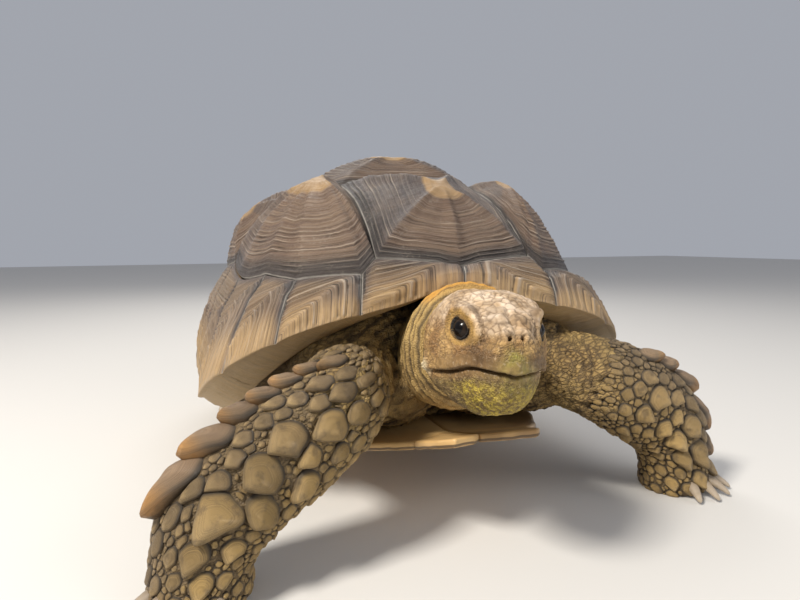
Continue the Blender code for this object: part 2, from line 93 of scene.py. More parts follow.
floor_mesh = bpy.data.meshes.new("floor")
floor_corners = [(x * FLOOR_REACH, y * FLOOR_REACH, 0) for x, y in ((-1, -1), (1, -1), (1, 1), (-1, 1))]
floor_mesh.from_pydata(floor_corners, [], [(0, 1, 2, 3)])
floor = placed("floor", floor_mesh)
floor_material = bpy.data.materials.new("floor")
floor_material.use_nodes = True
floor_shader = floor_material.node_tree.nodes["Principled BSDF"]
floor_shader.inputs["Base Color"].default_value = (*FLOOR_COLOR, 1)
floor_shader.inputs["Roughness"].default_value = FLOOR_ROUGHNESS
floor_mesh.materials.append(floor_material)

yaw, pitch, roll = (math.radians(a) for a in (CAMERA_YAW, CAMERA_PITCH, CAMERA_ROLL))
ahead = Vector((math.sin(yaw) * math.cos(pitch), math.cos(yaw) * math.cos(pitch), math.sin(pitch)))
level = Vector((math.cos(yaw), -math.sin(yaw), 0))
above = level.cross(ahead)
right = level * math.cos(roll) + above * math.sin(roll)
top = above * math.cos(roll) - level * math.sin(roll)
camera_data = bpy.data.cameras.new("camera")
camera_data.lens, camera_data.sensor_width = LENS, SENSOR
camera_data.clip_start = 0.01
camera = placed("camera", camera_data)
camera.matrix_world = Matrix(((right.x, top.x, -ahead.x, CAMERA_AT.x),
                              (right.y, top.y, -ahead.y, CAMERA_AT.y),
                              (right.z, top.z, -ahead.z, CAMERA_AT.z), (0, 0, 0, 1)))
bpy.context.scene.camera = camera

# ---- carapace: vertebral and costal plates ----
# Thick brown horn plates over the dome of the shell, each a low pyramid round its oldest part,
# the areola. Each year adds a ring at the edge, so the flanks are stepped like terraces.
HALF_LENGTH, HALF_WIDTH, TOP = 0.25, 0.191, 0.242
RIM_FRONT, RIM_SIDE, RIM_BACK = 0.121, 0.028, 0.055
STEEP_FRONT, STEEP_SIDE, STEEP_BACK = 1.14, 1.41, 1.25
FULLNESS, OUTLINE = 2.41, 2.78
SCUTE = 0.006
FRONT_WALL, BACK_WALL = -0.165, 0.14      # where neck, legs and tail leave the trunk
SHELL_AT = np.array([sum(c.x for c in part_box("trunk")) / 2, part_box("trunk")[0].y - FRONT_WALL,
                     min(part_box("abdominal_left")[0].z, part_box("abdominal_right")[0].z)])
MARGINAL_SEAMS = (25, 40, 51, 68, 84, 98, 112, 127, 142, 155, 167)
COSTAL_SEAMS = (22, 84, 106, 130, 160)
RING = ((0, 0.894), (6, 0.87), (22, 0.842), (25, 0.892), (40, 0.85), (51, 0.772), (84, 0.66),
        (110, 0.7), (150, 0.8), (180, 0.83))
SPINE = ((0.215, -0.256), (0.33, -0.15), (0.225, -0.04), (0.3, 0.06), (0.205, 0.165),
         (0.285, 0.31), (0.175, 0.45))
VERTEBRAL_RISES = (0.02, 0.02, 0.015, 0.014, 0.014)
COSTAL_RISES = (0.017, 0.015, 0.013, 0.013)
VERTEBRAL_PEAKS = ((0.6, 0), (0.14, 0), None, None, None)
COSTAL_PEAKS = ((0.45, 41), None, None, None)
YEAR = 0.004                              # width of one growth ring
TERRACE = 0.00165                          # height of its step
HOLLOW = 0.0032                            # how far the flanks dip between the ridges
VALLEY = 0.0022                            # how far the plates sink towards their seams
SEAM_WIDTH, SEAM_DEPTH = 0.0011, 0.001    # the groove between plates


def smooth(x):
    """0 below 0, 1 above 1, with a soft turn at both ends."""
    x = np.clip(x, 0, 1)
    return x * x * (3 - 2 * x)


def ramp(x, start, width):
    """Soft step from 0 to 1 that begins at start."""
    return smooth((x - start) / width)


def bell(x):
    """1 at 0 and falling off on both sides, the exponential of minus x squared."""
    return np.exp(-(x**2))


def unit(vector):
    """The vector at length 1."""
    return vector / np.maximum(np.linalg.norm(vector, axis=-1, keepdims=True), 1e-12)


def polar(radius, degrees, side=1):
    """Disc point at a radius and a direction away from the head; side is 1 for the left."""
    a = np.radians(degrees)
    return np.stack([side * radius * np.sin(a), -radius * np.cos(a)], -1)


def dome(uv):
    """The bare shell over the unit disc: going out from the crown, the height falls as a raised
    cosine of the radius and the reach grows as its sine, both made boxier by FULLNESS, then
    stretched to the outline seen from above and flared towards the rim."""
    rho = np.maximum(np.linalg.norm(uv, axis=-1), 1e-6)
    across, along = uv[..., 0] / rho, np.where(rho < 2e-6, -1, uv[..., 1] / rho)
    turn = np.degrees(np.arccos(np.clip(-along, -1, 1)))
    front, back = np.clip(-along, 0, 1), np.clip(along, 0, 1)
    square = (np.abs(across) ** OUTLINE + np.abs(along) ** OUTLINE) ** (-1 / OUTLINE)
    steep = STEEP_SIDE + (STEEP_FRONT - STEEP_SIDE) * front**2 + (STEEP_BACK - STEEP_SIDE) * back**2
    flare = 0.006 - 0.013 * front + 0.014 * back + 0.03 * bell((turn - 50) / 22)
    flare *= np.clip((rho - 0.72) / 0.28, 0, 1) ** 2
    rim = RIM_SIDE + (RIM_FRONT - RIM_SIDE) * ramp(-along, 0.3, 0.7)
    rim += (RIM_BACK - RIM_SIDE) * back**2
    out = np.abs(np.sin(steep * rho) / np.sin(steep)) ** (2 / FULLNESS)
    up = np.clip((np.cos(steep * rho) - np.cos(steep)) / (1 - np.cos(steep)), 0, None)
    z = rim + (TOP - rim) * up ** (2 / FULLNESS)
    z += 0.016 * bell(turn / 13) * ramp(rho, 0.86, 0.14)
    x = (HALF_WIDTH * out + flare) * across * square
    y = (HALF_LENGTH * out + flare) * along * square
    return np.stack([x, y, z], -1)


def outward(uv, step=0.004):
    """Unit normal of the bare shell."""
    du, dv = np.array([step, 0]), np.array([0, step])
    n = unit(np.cross(dome(uv + du) - dome(uv - du), dome(uv + dv) - dome(uv - dv)))
    facing = n[..., 2] + 3 * (n[..., 0] * uv[..., 0] + n[..., 1] * uv[..., 1])
    return n * np.where(facing < 0, -1, 1)[..., None]


def waves(points, size, seed, count=7):
    """Smooth wandering value between about -1 and 1: a sum of sine waves in random directions,
    whose length is about size."""
    rng = np.random.default_rng(seed)
    ways = unit(rng.normal(size=(count, 3))) * rng.uniform(0.6, 1.7, (count, 1)) * 2 * np.pi / size
    phases = rng.uniform(0, 2 * np.pi, count)
    total = np.zeros(points.shape[:-1])
    for way, phase in zip(ways, phases):
        total += np.sin(points @ way + phase)
    return total / math.sqrt(count)


def solid(name, grids, material, nodes=(), fields=None, places=None):
    """One object from closed parts. Each part is (points, faces); fields maps a name to one
    number per point, which the material reads, and places is each point's place on a flat map
    of the skin. The parts are given in the shell's axes."""
    counts = np.array([len(p) for p, _ in grids])
    starts = np.cumsum(counts) - counts
    points = np.concatenate([p for p, _ in grids]) + SHELL_AT
    faces = [f + start for (_, parts), start in zip(grids, starts) for f in parts]
    corners = np.concatenate([f.ravel() for f in faces])
    sizes = np.concatenate([np.full(len(f), f.shape[1]) for f in faces])
    mesh = bpy.data.meshes.new(name)
    mesh.vertices.add(len(points))
    mesh.vertices.foreach_set("co", points.astype(np.float32).ravel())
    mesh.loops.add(len(corners))
    mesh.loops.foreach_set("vertex_index", corners.astype(np.int32))
    mesh.polygons.add(len(sizes))
    mesh.polygons.foreach_set("loop_start", (np.cumsum(sizes) - sizes).astype(np.int32))
    mesh.update(calc_edges=True)
    if places is not None:
        uv = mesh.uv_layers.new(name="OFBake")
        uv.data.foreach_set("uv", places[corners].astype(np.float32).ravel())
    mesh.validate()
    mesh.shade_smooth()
    for field, values in (fields or {}).items():
        layer = mesh.attributes.new(field, "FLOAT", "POINT")
        layer.data.foreach_set("value", np.asarray(values, np.float32).ravel())
    mesh.materials.append(material)
    obj = placed(name, mesh)
    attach(obj, "root")
    if nodes:
        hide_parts(*nodes)
    return obj


def wrapped(rows):
    """Closed body from stacked rings, rows of shape (rings, points per ring, 3), its ends closed
    round their middles. Faces point outwards when the rings run counter-clockwise as seen from
    the last ring."""
    m, n = rows.shape[:2]
    i, j = np.meshgrid(np.arange(m - 1), np.arange(n), indexing="ij")
    k = (j + 1) % n
    quads = np.stack([i * n + j, i * n + k, (i + 1) * n + k, (i + 1) * n + j], -1).reshape(-1, 4)
    ring, after = np.arange(n), (np.arange(n) + 1) % n
    low = np.stack([np.full(n, m * n), after, ring], -1)
    high = np.stack([np.full(n, m * n + 1), (m - 1) * n + ring, (m - 1) * n + after], -1)
    points = np.concatenate([rows.reshape(-1, 3), rows[0].mean(0)[None], rows[-1].mean(0)[None]])
    return points, (quads, low, high)


def facing_out(points, faces):
    """The same faces, turned over if the body they close has its volume inside out."""
    volume = 0
    for part in faces:
        a, b, c = points[part[:, 0]], points[part[:, 1]], points[part[:, 2]]
        volume += np.sum(a * np.cross(b, c))
        if part.shape[1] == 4:
            volume += np.sum(a * np.cross(c, points[part[:, 3]]))
    return points, tuple(part if volume > 0 else part[:, ::-1] for part in faces)


def ring(degrees, side=1):
    """Disc point on the seam between the marginals and the rest."""
    return polar(np.interp(degrees, *zip(*RING)), degrees, side)


STATIONS = sorted({*range(0, 181, 3), *MARGINAL_SEAMS, *COSTAL_SEAMS})


def ring_path(start, end, side):
    """Points on that seam between two directions."""
    return [ring(a, side) for a in STATIONS if start <= a <= end]


def counter_clockwise(corners):
    """The corners in counter-clockwise order."""
    x, y = np.asarray(corners, float).T
    turned = np.sum(x * np.roll(y, -1) - y * np.roll(x, -1)) > 0
    return np.asarray(corners, float)[:: 1 if turned else -1]


def centre_of(loop):
    """Centre of area of a polygon."""
    x, y = loop.T
    cross = x * np.roll(y, -1) - y * np.roll(x, -1)
    return np.array([np.sum((x + np.roll(x, -1)) * cross),
                     np.sum((y + np.roll(y, -1)) * cross)]) / (3 * np.sum(cross))


def even_loop(corners, count, creases=()):
    """Points along a polygon, every corner kept, and how strongly a ridge stands there: 1 at a
    corner that turns by half a right angle or more, less at a crease, falling to 0 with the
    distance from it along the edge. The second array holds that distance, the third the
    strength."""
    corners = np.asarray(corners, float)
    ends = np.roll(corners, -1, 0)
    lengths = np.linalg.norm(ends - corners, axis=1)
    ways = unit(ends - corners)
    bend = np.arccos(np.clip(np.sum(ways * np.roll(ways, 1, 0), 1), -1, 1))
    sharp = ramp(np.degrees(bend), 14, 26)
    for crease in creases:
        sharp = np.maximum(sharp, 0.7 * (np.linalg.norm(corners - crease, axis=1) < 1e-6))
    parts = np.maximum(2, np.round(lengths / lengths.sum() * count)).astype(int)
    loop = np.concatenate([a + (b - a) * (np.arange(n) / n)[:, None]
                           for a, b, n in zip(corners, ends, parts)])
    firsts = np.cumsum(lengths) - lengths
    along = np.concatenate([first + length * np.arange(n) / n
                            for first, length, n in zip(firsts, lengths, parts)])
    marks, total = firsts[sharp > 0.05], lengths.sum()
    away = np.abs(along[:, None] - marks)
    away = np.minimum(away, total - away)
    nearest = np.argmin(away, 1)
    return loop, away[np.arange(len(loop)), nearest], sharp[sharp > 0.05][nearest]


def shrink(loop, by):
    """The polygon with every edge moved inwards."""
    edge = unit(np.roll(loop, -1, 0) - loop)
    inward = np.stack([-edge[:, 1], edge[:, 0]], -1)
    both = unit(inward + np.roll(inward, 1, 0))
    return loop + by * both / np.sum(both * inward, 1)[:, None]


def terraces(rings, place, seed):
    """Height of the yearly steps, 0 on average. Going outwards each step swells to its lip and
    then drops; some years leave a strong lip and others hardly any. Two finer rings lie on each."""
    rings = rings + 0.06 * waves(place, 0.055, seed) + 0.015 * waves(place, 0.016, seed + 1)
    year = np.floor(rings)
    t = rings - year
    strength = 0.62 + 0.38 * np.sin(year * 12.9898 + seed) * np.cos(year * 4.1414)
    strength = strength * (1 + 0.25 * waves(place, 0.04, seed + 3))
    drop = ramp(t, 0.66, 0.34)
    fine = 0.13 * np.sin(4 * np.pi * rings + 0.5 * waves(place, 0.03, seed + 2))
    return ((t / 0.8) * (1 - drop) - 0.45 + 0.05 * drop + fine) * strength * TERRACE


def scute(name, corners, rise, peak, material, creases=(), columns=140, rows=130):
    """A pyramid over the disc polygon: share runs from 1 at the edge to 0 at the peak and the
    height is rise times 1.2 (1 - share), rounded off over the areola. The flanks are hollow, so
    ridges stand up towards the sharp corners; terraces cross them and a groove runs round.
    One field paints a grey sky reflection: it is 1 on the flanks that look sideways or back and 0 on the
    front flank."""
    loop, corner, sharp = even_loop(counter_clockwise(corners), columns, creases)
    peak = centre_of(loop) if peak is None else polar(*peak)
    edge = shrink(loop, 0.0005)
    share = 1 - np.linspace(0, 1, rows + 1)[:-1, None, None] ** 0.96
    flat = peak + share * (edge - peak)
    bare, wall = dome(flat), outward(flat)
    share = share[..., 0] * np.ones(len(loop))
    slope = 1.2 * (1 - share)
    top = -np.log(np.exp(-13 * slope) + math.exp(-13)) / 13
    ridge = sharp * bell(share * corner / (0.01 + 0.03 * share))
    reach = np.linalg.norm(dome(edge) - dome(peak[None]), axis=-1)
    years = max(6, round(float(np.median(reach)) / YEAR))
    growth = share * years
    seed = sum(map(ord, name))
    flank = ramp(share, 0.13, 0.1) * (1 - 0.75 * ramp(share, 0.96, 0.04))
    flank *= 0.55 + 0.45 * ramp(share, 0.3, 0.4)
    steps = terraces(growth, bare, seed) * flank
    height = rise * top + steps - HOLLOW * 4 * share * (1 - share) * (1 - ridge) * smooth(share * 4)
    height += 0.0009 * ridge * smooth(share * 4) * smooth((1 - share) * 12)
    height -= VALLEY * ramp(share, 0.55, 0.45)
    height += 0.0005 * waves(bare, 0.03, seed + 5) + 0.0002 * waves(bare, 0.006, seed + 6)
    from_edge = (1 - share) * reach
    height -= SEAM_DEPTH * (1 - smooth(from_edge / (SEAM_WIDTH * 1.6)))
    outside = bare + wall * height[..., None]
    inner_share = np.array([0.35, 0.75, 1.0])[:, None, None]
    under = peak + inner_share * (edge - peak)
    inside = dome(under) - SCUTE * outward(under)
    body = wrapped(np.concatenate([inside, outside]))
    body[0][-1] = dome(peak) + outward(peak) * (rise * 0.99)
    body[0][-2] = dome(peak) - SCUTE * outward(peak)
    pad = np.ones((3, len(loop)))
    away = loop - peak
    # strength of the painted grey sky reflection, on the flanks turned sideways or back
    if "vertebral" in name:
        turn, shade = np.abs(np.arctan2(np.abs(away[:, 0]), -away[:, 1])), 0.9
    else:
        ahead = np.arctan2(away[:, 0] * np.sign(peak[0]), -away[:, 1])
        turn, shade = np.abs(ahead - math.radians(52)), 0.55
    sky_sheen = ramp(np.degrees(turn), 57, 6) * shade * np.ones((rows, 1))
    # each field on the underside, on the top, and at the two end points
    parts = {"sky_sheen": (0, sky_sheen, 0, 0), "share": (1, share, 1, 0), "growth": (years, growth, years, 0),
             "seam": (0, from_edge, 0, 0.05), "step": (0, steps / TERRACE, 0, 0)}
    fields = {key: np.append(np.concatenate([pad * low, high]), ends)
              for key, (low, high, *ends) in parts.items()}
    fields["tone"] = np.zeros(len(body[0]))
    return solid(name, [facing_out(*body)], material,
                 [name.replace("scute_", "")], fields)


def group(name, inputs, outputs):
    """A new node group with float or colour sockets, as {name: (kind, value)}."""
    tree = bpy.data.node_groups.new(name, "ShaderNodeTree")
    for socket, (kind, value) in inputs.items():
        made = tree.interface.new_socket(socket, in_out="INPUT", socket_type="NodeSocket" + kind)
        made.default_value = value
    for socket, kind in outputs.items():
        tree.interface.new_socket(socket, in_out="OUTPUT", socket_type="NodeSocket" + kind)
    return tree, tree.nodes.new("NodeGroupInput"), tree.nodes.new("NodeGroupOutput")


class Net:
    """Short way to wire nodes in one tree: most calls add a node and return its output. lay,
    shade and dress build up one colour, layer by layer."""

    def __init__(self, tree):
        self.tree, self.color = tree, None

    def node(self, kind, **settings):
        """A new node with its settings."""
        made = self.tree.nodes.new("ShaderNode" + kind)
        for key, value in settings.items():
            setattr(made, key, value)
        return made

    def put(self, socket, value):
        """Links or sets one socket."""
        if isinstance(value, bpy.types.NodeSocket):
            self.tree.links.new(value, socket)
        else:
            socket.default_value = (*value, 1) if socket.type == "RGBA" else value

    def feed(self, node, **values):
        """Links or sets a node's inputs by name."""
        for key, value in values.items():
            self.put(node.inputs[key.replace("_", " ")], value)
        return node.outputs

    def math(self, operation, *values):
        made = self.node("Math", operation=operation)
        for socket, value in zip(made.inputs, values):
            self.put(socket, value)
        return made.outputs[0]

    def times(self, a, b):
        return self.math("MULTIPLY", a, b)

    def mix(self, factor, a, b):
        """Colour a where the factor is 0 and b where it is 1."""
        made = self.node("Mix", data_type="RGBA")
        self.put(made.inputs[0], factor)
        self.put(made.inputs[6], a)
        self.put(made.inputs[7], b)
        return made.outputs[2]

    def span(self, value, low, high, to_low=0.0, to_high=1.0):
        """Value mapped from low..high to to_low..to_high, with soft ends."""
        made = self.node("MapRange", interpolation_type="SMOOTHSTEP")
        for socket, number in zip(made.inputs, (value, low, high, to_low, to_high)):
            self.put(socket, number)
        return made.outputs[0]

    def place(self, lean=None, scale=(1, 1, 1)):
        """Object coordinates, on request leaned about the y axis by degrees and drawn out."""
        place = self.node("TexCoord").outputs["Object"]
        if lean is None:
            return place
        made = self.node("Mapping", vector_type="TEXTURE")
        return self.feed(made, Vector=place, Rotation=(0, math.radians(lean), 0), Scale=scale)[0]

    def noise(self, scale, detail=3, rough=0.55, **w):
        """Noise in space; a fourth coordinate W changes it along with a value."""
        made = self.node("TexNoise", noise_dimensions="4D" if w else "3D")
        self.feed(made, Vector=self.place(), Scale=scale, Detail=detail, Roughness=rough, **w)
        return made.outputs["Fac"]

    def cells(self, scale, place):
        """Distance to the edge between the cells of a random net."""
        made = self.node("TexVoronoi", feature="DISTANCE_TO_EDGE")
        return self.feed(made, Vector=place, Scale=scale)["Distance"]

    def field(self, name):
        """A number that the mesh carries at its points."""
        return self.node("Attribute", attribute_name=name).outputs["Fac"]

    def use(self, tree, **values):
        """The outputs of a shared group."""
        return self.feed(self.node("Group", node_tree=tree), **values)

    def lay(self, mask, color):
        """Lays a colour over those laid so far, where the mask is 1."""
        self.color = self.mix(mask, self.color, color)

    def shade(self, value):
        """Makes the colour laid so far brighter or darker."""
        self.color = self.feed(self.node("HueSaturation"), Color=self.color, Value=value)[0]

    def dress(self, shader, height, strength, distance):
        """Gives the shader the colour, and a height under its normal."""
        bump = self.feed(self.node("Bump"), Height=height, Strength=strength, Distance=distance)
        self.feed(shader, Base_Color=self.color, Normal=bump[0])


def finish_of(name, roughness, **constants):
    """A material with its own Principled shader, and the net to wire it."""
    material = bpy.data.materials.new(name)
    material.use_nodes = True
    shader = material.node_tree.nodes["Principled BSDF"]
    net = Net(material.node_tree)
    net.feed(shader, Roughness=roughness, **constants)
    return material, shader, net


def grain_group():
    """Mottling at three sizes: broad patches, blotches and fine grain, each about 0.5."""
    tree, source, sink = group("grain", {"Size": ("Float", 60.0)},
                               {"Patches": "Float", "Blotches": "Float", "Fine": "Float"})
    net = Net(tree)
    size = source.outputs["Size"]
    for output, factor, detail in (("Patches", 0.25, 3), ("Blotches", 1, 4), ("Fine", 7, 4)):
        net.put(sink.inputs[output], net.noise(net.times(size, factor), detail))
    return tree


def ring_lines_group():
    """Fine lines along the growth rings: noise that changes quickly from ring to ring and only
    slowly along one."""
    tree, source, sink = group("ring_lines", {"Growth": ("Float", 0.0)},
                               {"Lines": "Float", "Bands": "Float"})
    net = Net(tree)
    growth = source.outputs["Growth"]
    wander = net.math("MULTIPLY_ADD", net.noise(16, 2), 0.25, growth)
    net.feed(sink, Lines=net.noise(8, 3, 0.72, W=net.times(wander, 2.3)),
             Bands=net.noise(6, 2, 0.5, W=net.times(wander, 0.55)))
    return tree


GRAIN, RING_LINES = grain_group(), ring_lines_group()
HORN_BROWN, HORN_RUSSET, BAND_BROWN = (0.128, 0.08, 0.056), (0.172, 0.112, 0.075), (0.225, 0.152, 0.1)
# HORN_PALE is also a painted highlight on the terrace lips and HORN_DARK also painted shade in their
# grooves
HORN_DARK, HORN_PALE, SCUFF_PALE = (0.02, 0.016, 0.014), (0.44, 0.36, 0.28), (0.46, 0.4, 0.32)
AREOLA_TAN, SEAM_GREY, RIM_TAN = (0.36, 0.23, 0.11), (0.36, 0.33, 0.29), (0.5, 0.33, 0.16)
# the first colour on the next line is a painted grey sky reflection
SKY_SHEEN_GREY, EDGE_BLACK, UNDER_GOLD = (0.078, 0.073, 0.076), (0.04, 0.034, 0.032), (0.6, 0.41, 0.19)


def carapace_horn():
    """Weathered horn: tan areola, brown flanks, a painted grey sky reflection on the flanks that
    face sideways or back, a painted highlight on each ring's lip and painted shade in its groove
    laid with its own pale and dark growth lines, a blackish band and a pale thread of new horn at
    the seams. The field tone makes a plate paler, up to the tan of the shell's rim."""
    material, shader, net = finish_of("carapace_horn", 0.5, Specular_IOR_Level=0.45)
    share, growth, seam, tone, step, sky_sheen = (
        net.field(k) for k in ("share", "growth", "seam", "tone", "step", "sky_sheen"))
    patches, blotches, fine = net.use(GRAIN, Size=55)
    lines, bands = net.use(RING_LINES, Growth=growth)
    net.color = net.mix(net.span(patches, 0.35, 0.65), HORN_BROWN, HORN_RUSSET)
    net.lay(net.span(bands, 0.44, 0.6, 0, 0.85), BAND_BROWN)
    # painted reflection: the flanks that face sideways or back greyed as if by the sky
    net.lay(net.times(sky_sheen, net.span(blotches, 0.2, 0.7, 0.95, 0.6)), SKY_SHEEN_GREY)
    areola = net.times(net.span(share, 0.235, 0.19), net.span(blotches, 0.2, 0.6, 0.65, 1))
    net.lay(areola, AREOLA_TAN)
    outer = net.times(net.span(share, 0.8, 0.93), net.span(tone, 0, 0.5, 0.88, 0))
    net.lay(outer, EDGE_BLACK)
    worn = net.times(net.span(tone, 0, 1), net.span(bands, 0.4, 0.6, 0.72, 0.95))
    net.lay(worn, net.mix(net.span(tone, 1, 1.2), RIM_TAN, UNDER_GOLD))
    # painted highlight on the lip of each terrace step, laid with the horn's own pale growth lines
    pale = net.math("MAXIMUM", net.span(step, 0.12, 0.42, 0, 0.7), net.span(lines, 0.56, 0.66, 0, 0.8))
    pale = net.times(pale, net.span(blotches, 0.25, 0.6, 0.45, 1))
    net.lay(net.times(pale, net.span(outer, 0, 1, 1, 0.45)), HORN_PALE)
    # painted shade in the groove under each terrace step, laid with the horn's own dark growth lines
    dark = net.math("MAXIMUM", net.span(step, -0.1, -0.4, 0, 0.85), net.span(lines, 0.47, 0.37, 0, 0.92))
    dark = net.times(dark, net.span(share, 0.12, 0.26, 0.35, 1))
    net.lay(net.times(dark, net.span(tone, 0.7, 1.2, 1, 0.45)), HORN_DARK)
    scuffs = net.times(net.span(fine, 0.5, 0.75), net.span(blotches, 0.48, 0.7))
    net.lay(net.times(scuffs, 0.3), SCUFF_PALE)
    thread = net.times(net.span(seam, 0.0016, 0.0006), net.span(blotches, 0.3, 0.6, 0.5, 0.9))
    net.lay(thread, SEAM_GREY)
    net.lay(net.span(seam, 0.0005, 0.0001, 0, 0.9), HORN_DARK)
    net.feed(shader, Roughness=net.span(lines, 0.3, 0.7, 0.3, 0.52))
    relief = net.math("ADD", lines, net.times(fine, 0.2))
    net.dress(shader, relief, 0.8, 0.0016)
    return material


CARAPACE_HORN = carapace_horn()
left_spine, right_spine = (np.array(SPINE) * (side, 1) for side in (1, -1))
(a1, b1, a2, b2, a3, b3, a4), (c1, d1, c2, d2, c3, d3, c4) = left_spine, right_spine
back_edge = ring_path(COSTAL_SEAMS[4], 180, 1) + ring_path(COSTAL_SEAMS[4], 179, -1)[::-1]
front_edge = ring_path(1, COSTAL_SEAMS[0], -1)[::-1] + ring_path(0, COSTAL_SEAMS[0], 1)
outlines = ([*front_edge, a1, c1],
            [c1, a1, b1, a2, c2, d1], [c2, a2, b2, a3, c3, d2], [c3, a3, b3, a4, c4, d3],
            [c4, a4, *back_edge])
for n, (corners, rise, peak) in enumerate(zip(outlines, VERTEBRAL_RISES, VERTEBRAL_PEAKS), 1):
    finer = {"columns": 190, "rows": 200} if n == 1 else {}
    scute(f"scute_vertebral_{n}", corners, rise, peak, CARAPACE_HORN, **finer)
for side, word, spine in ((1, "left", left_spine), (-1, "right", right_spine)):
    p1, q1, p2, q2, p3, q3, p4 = spine
    tops = ([q1, p1], [q2, p2, q1], [q3, p3, q2], [p4, q3])
    for n, (start, end) in enumerate(zip(COSTAL_SEAMS, COSTAL_SEAMS[1:])):
        peak = COSTAL_PEAKS[n] and (*COSTAL_PEAKS[n], side)
        creases = [ring(a, side) for a in MARGINAL_SEAMS if start + 4 < a < end - 4]
        finer = {"columns": 170, "rows": 200} if n == 0 else {}
        scute(f"scute_costal_{word}_{n + 1}", ring_path(start, end, side) + tops[n], COSTAL_RISES[n],
              peak, CARAPACE_HORN, creases, **finer)

# ---- carapace: marginal plates ----
# Smaller horn plates that fold over the rim of the shell. Each grew from its rear outer corner,
# so its rings run beside its front and its inner seam. Worn to tan at the rim and underneath.
MARGINAL_STEP = 0.0024     # height of a growth ring's step
MARGINAL_LEAN = 0.8        # widest front arm of a plate's rings, against its inner arm
LIP_WIDTHS = ((0, 0.03), (30, 0.036), (51, 0.034), (68, 0.024), (112, 0.024), (127, 0.018),
              (150, 0.022), (180, 0.03))
LIP_DROPS = ((0, 0.002), (20, 0.004), (40, 0.01), (55, 0.02), (68, 0.014), (112, 0.016),
             (127, 0.007), (150, 0.004), (180, 0.004))


def rim_normal(point):
    """Level direction out of the shell's outline at rim points."""
    flat = point * (1 / HALF_WIDTH**2, 1 / HALF_LENGTH**2, 0)
    return unit(flat)


def lip(degrees, side):
    """Inner edge of a marginal's underside, where the skin or the bridge begins."""
    rim = dome(polar(1, degrees, side))
    width = np.interp(degrees, *zip(*LIP_WIDTHS))
    drop = np.interp(degrees, *zip(*LIP_DROPS))
    return rim - width[..., None] * rim_normal(rim) - drop[..., None] * np.array([0, 0, 1])


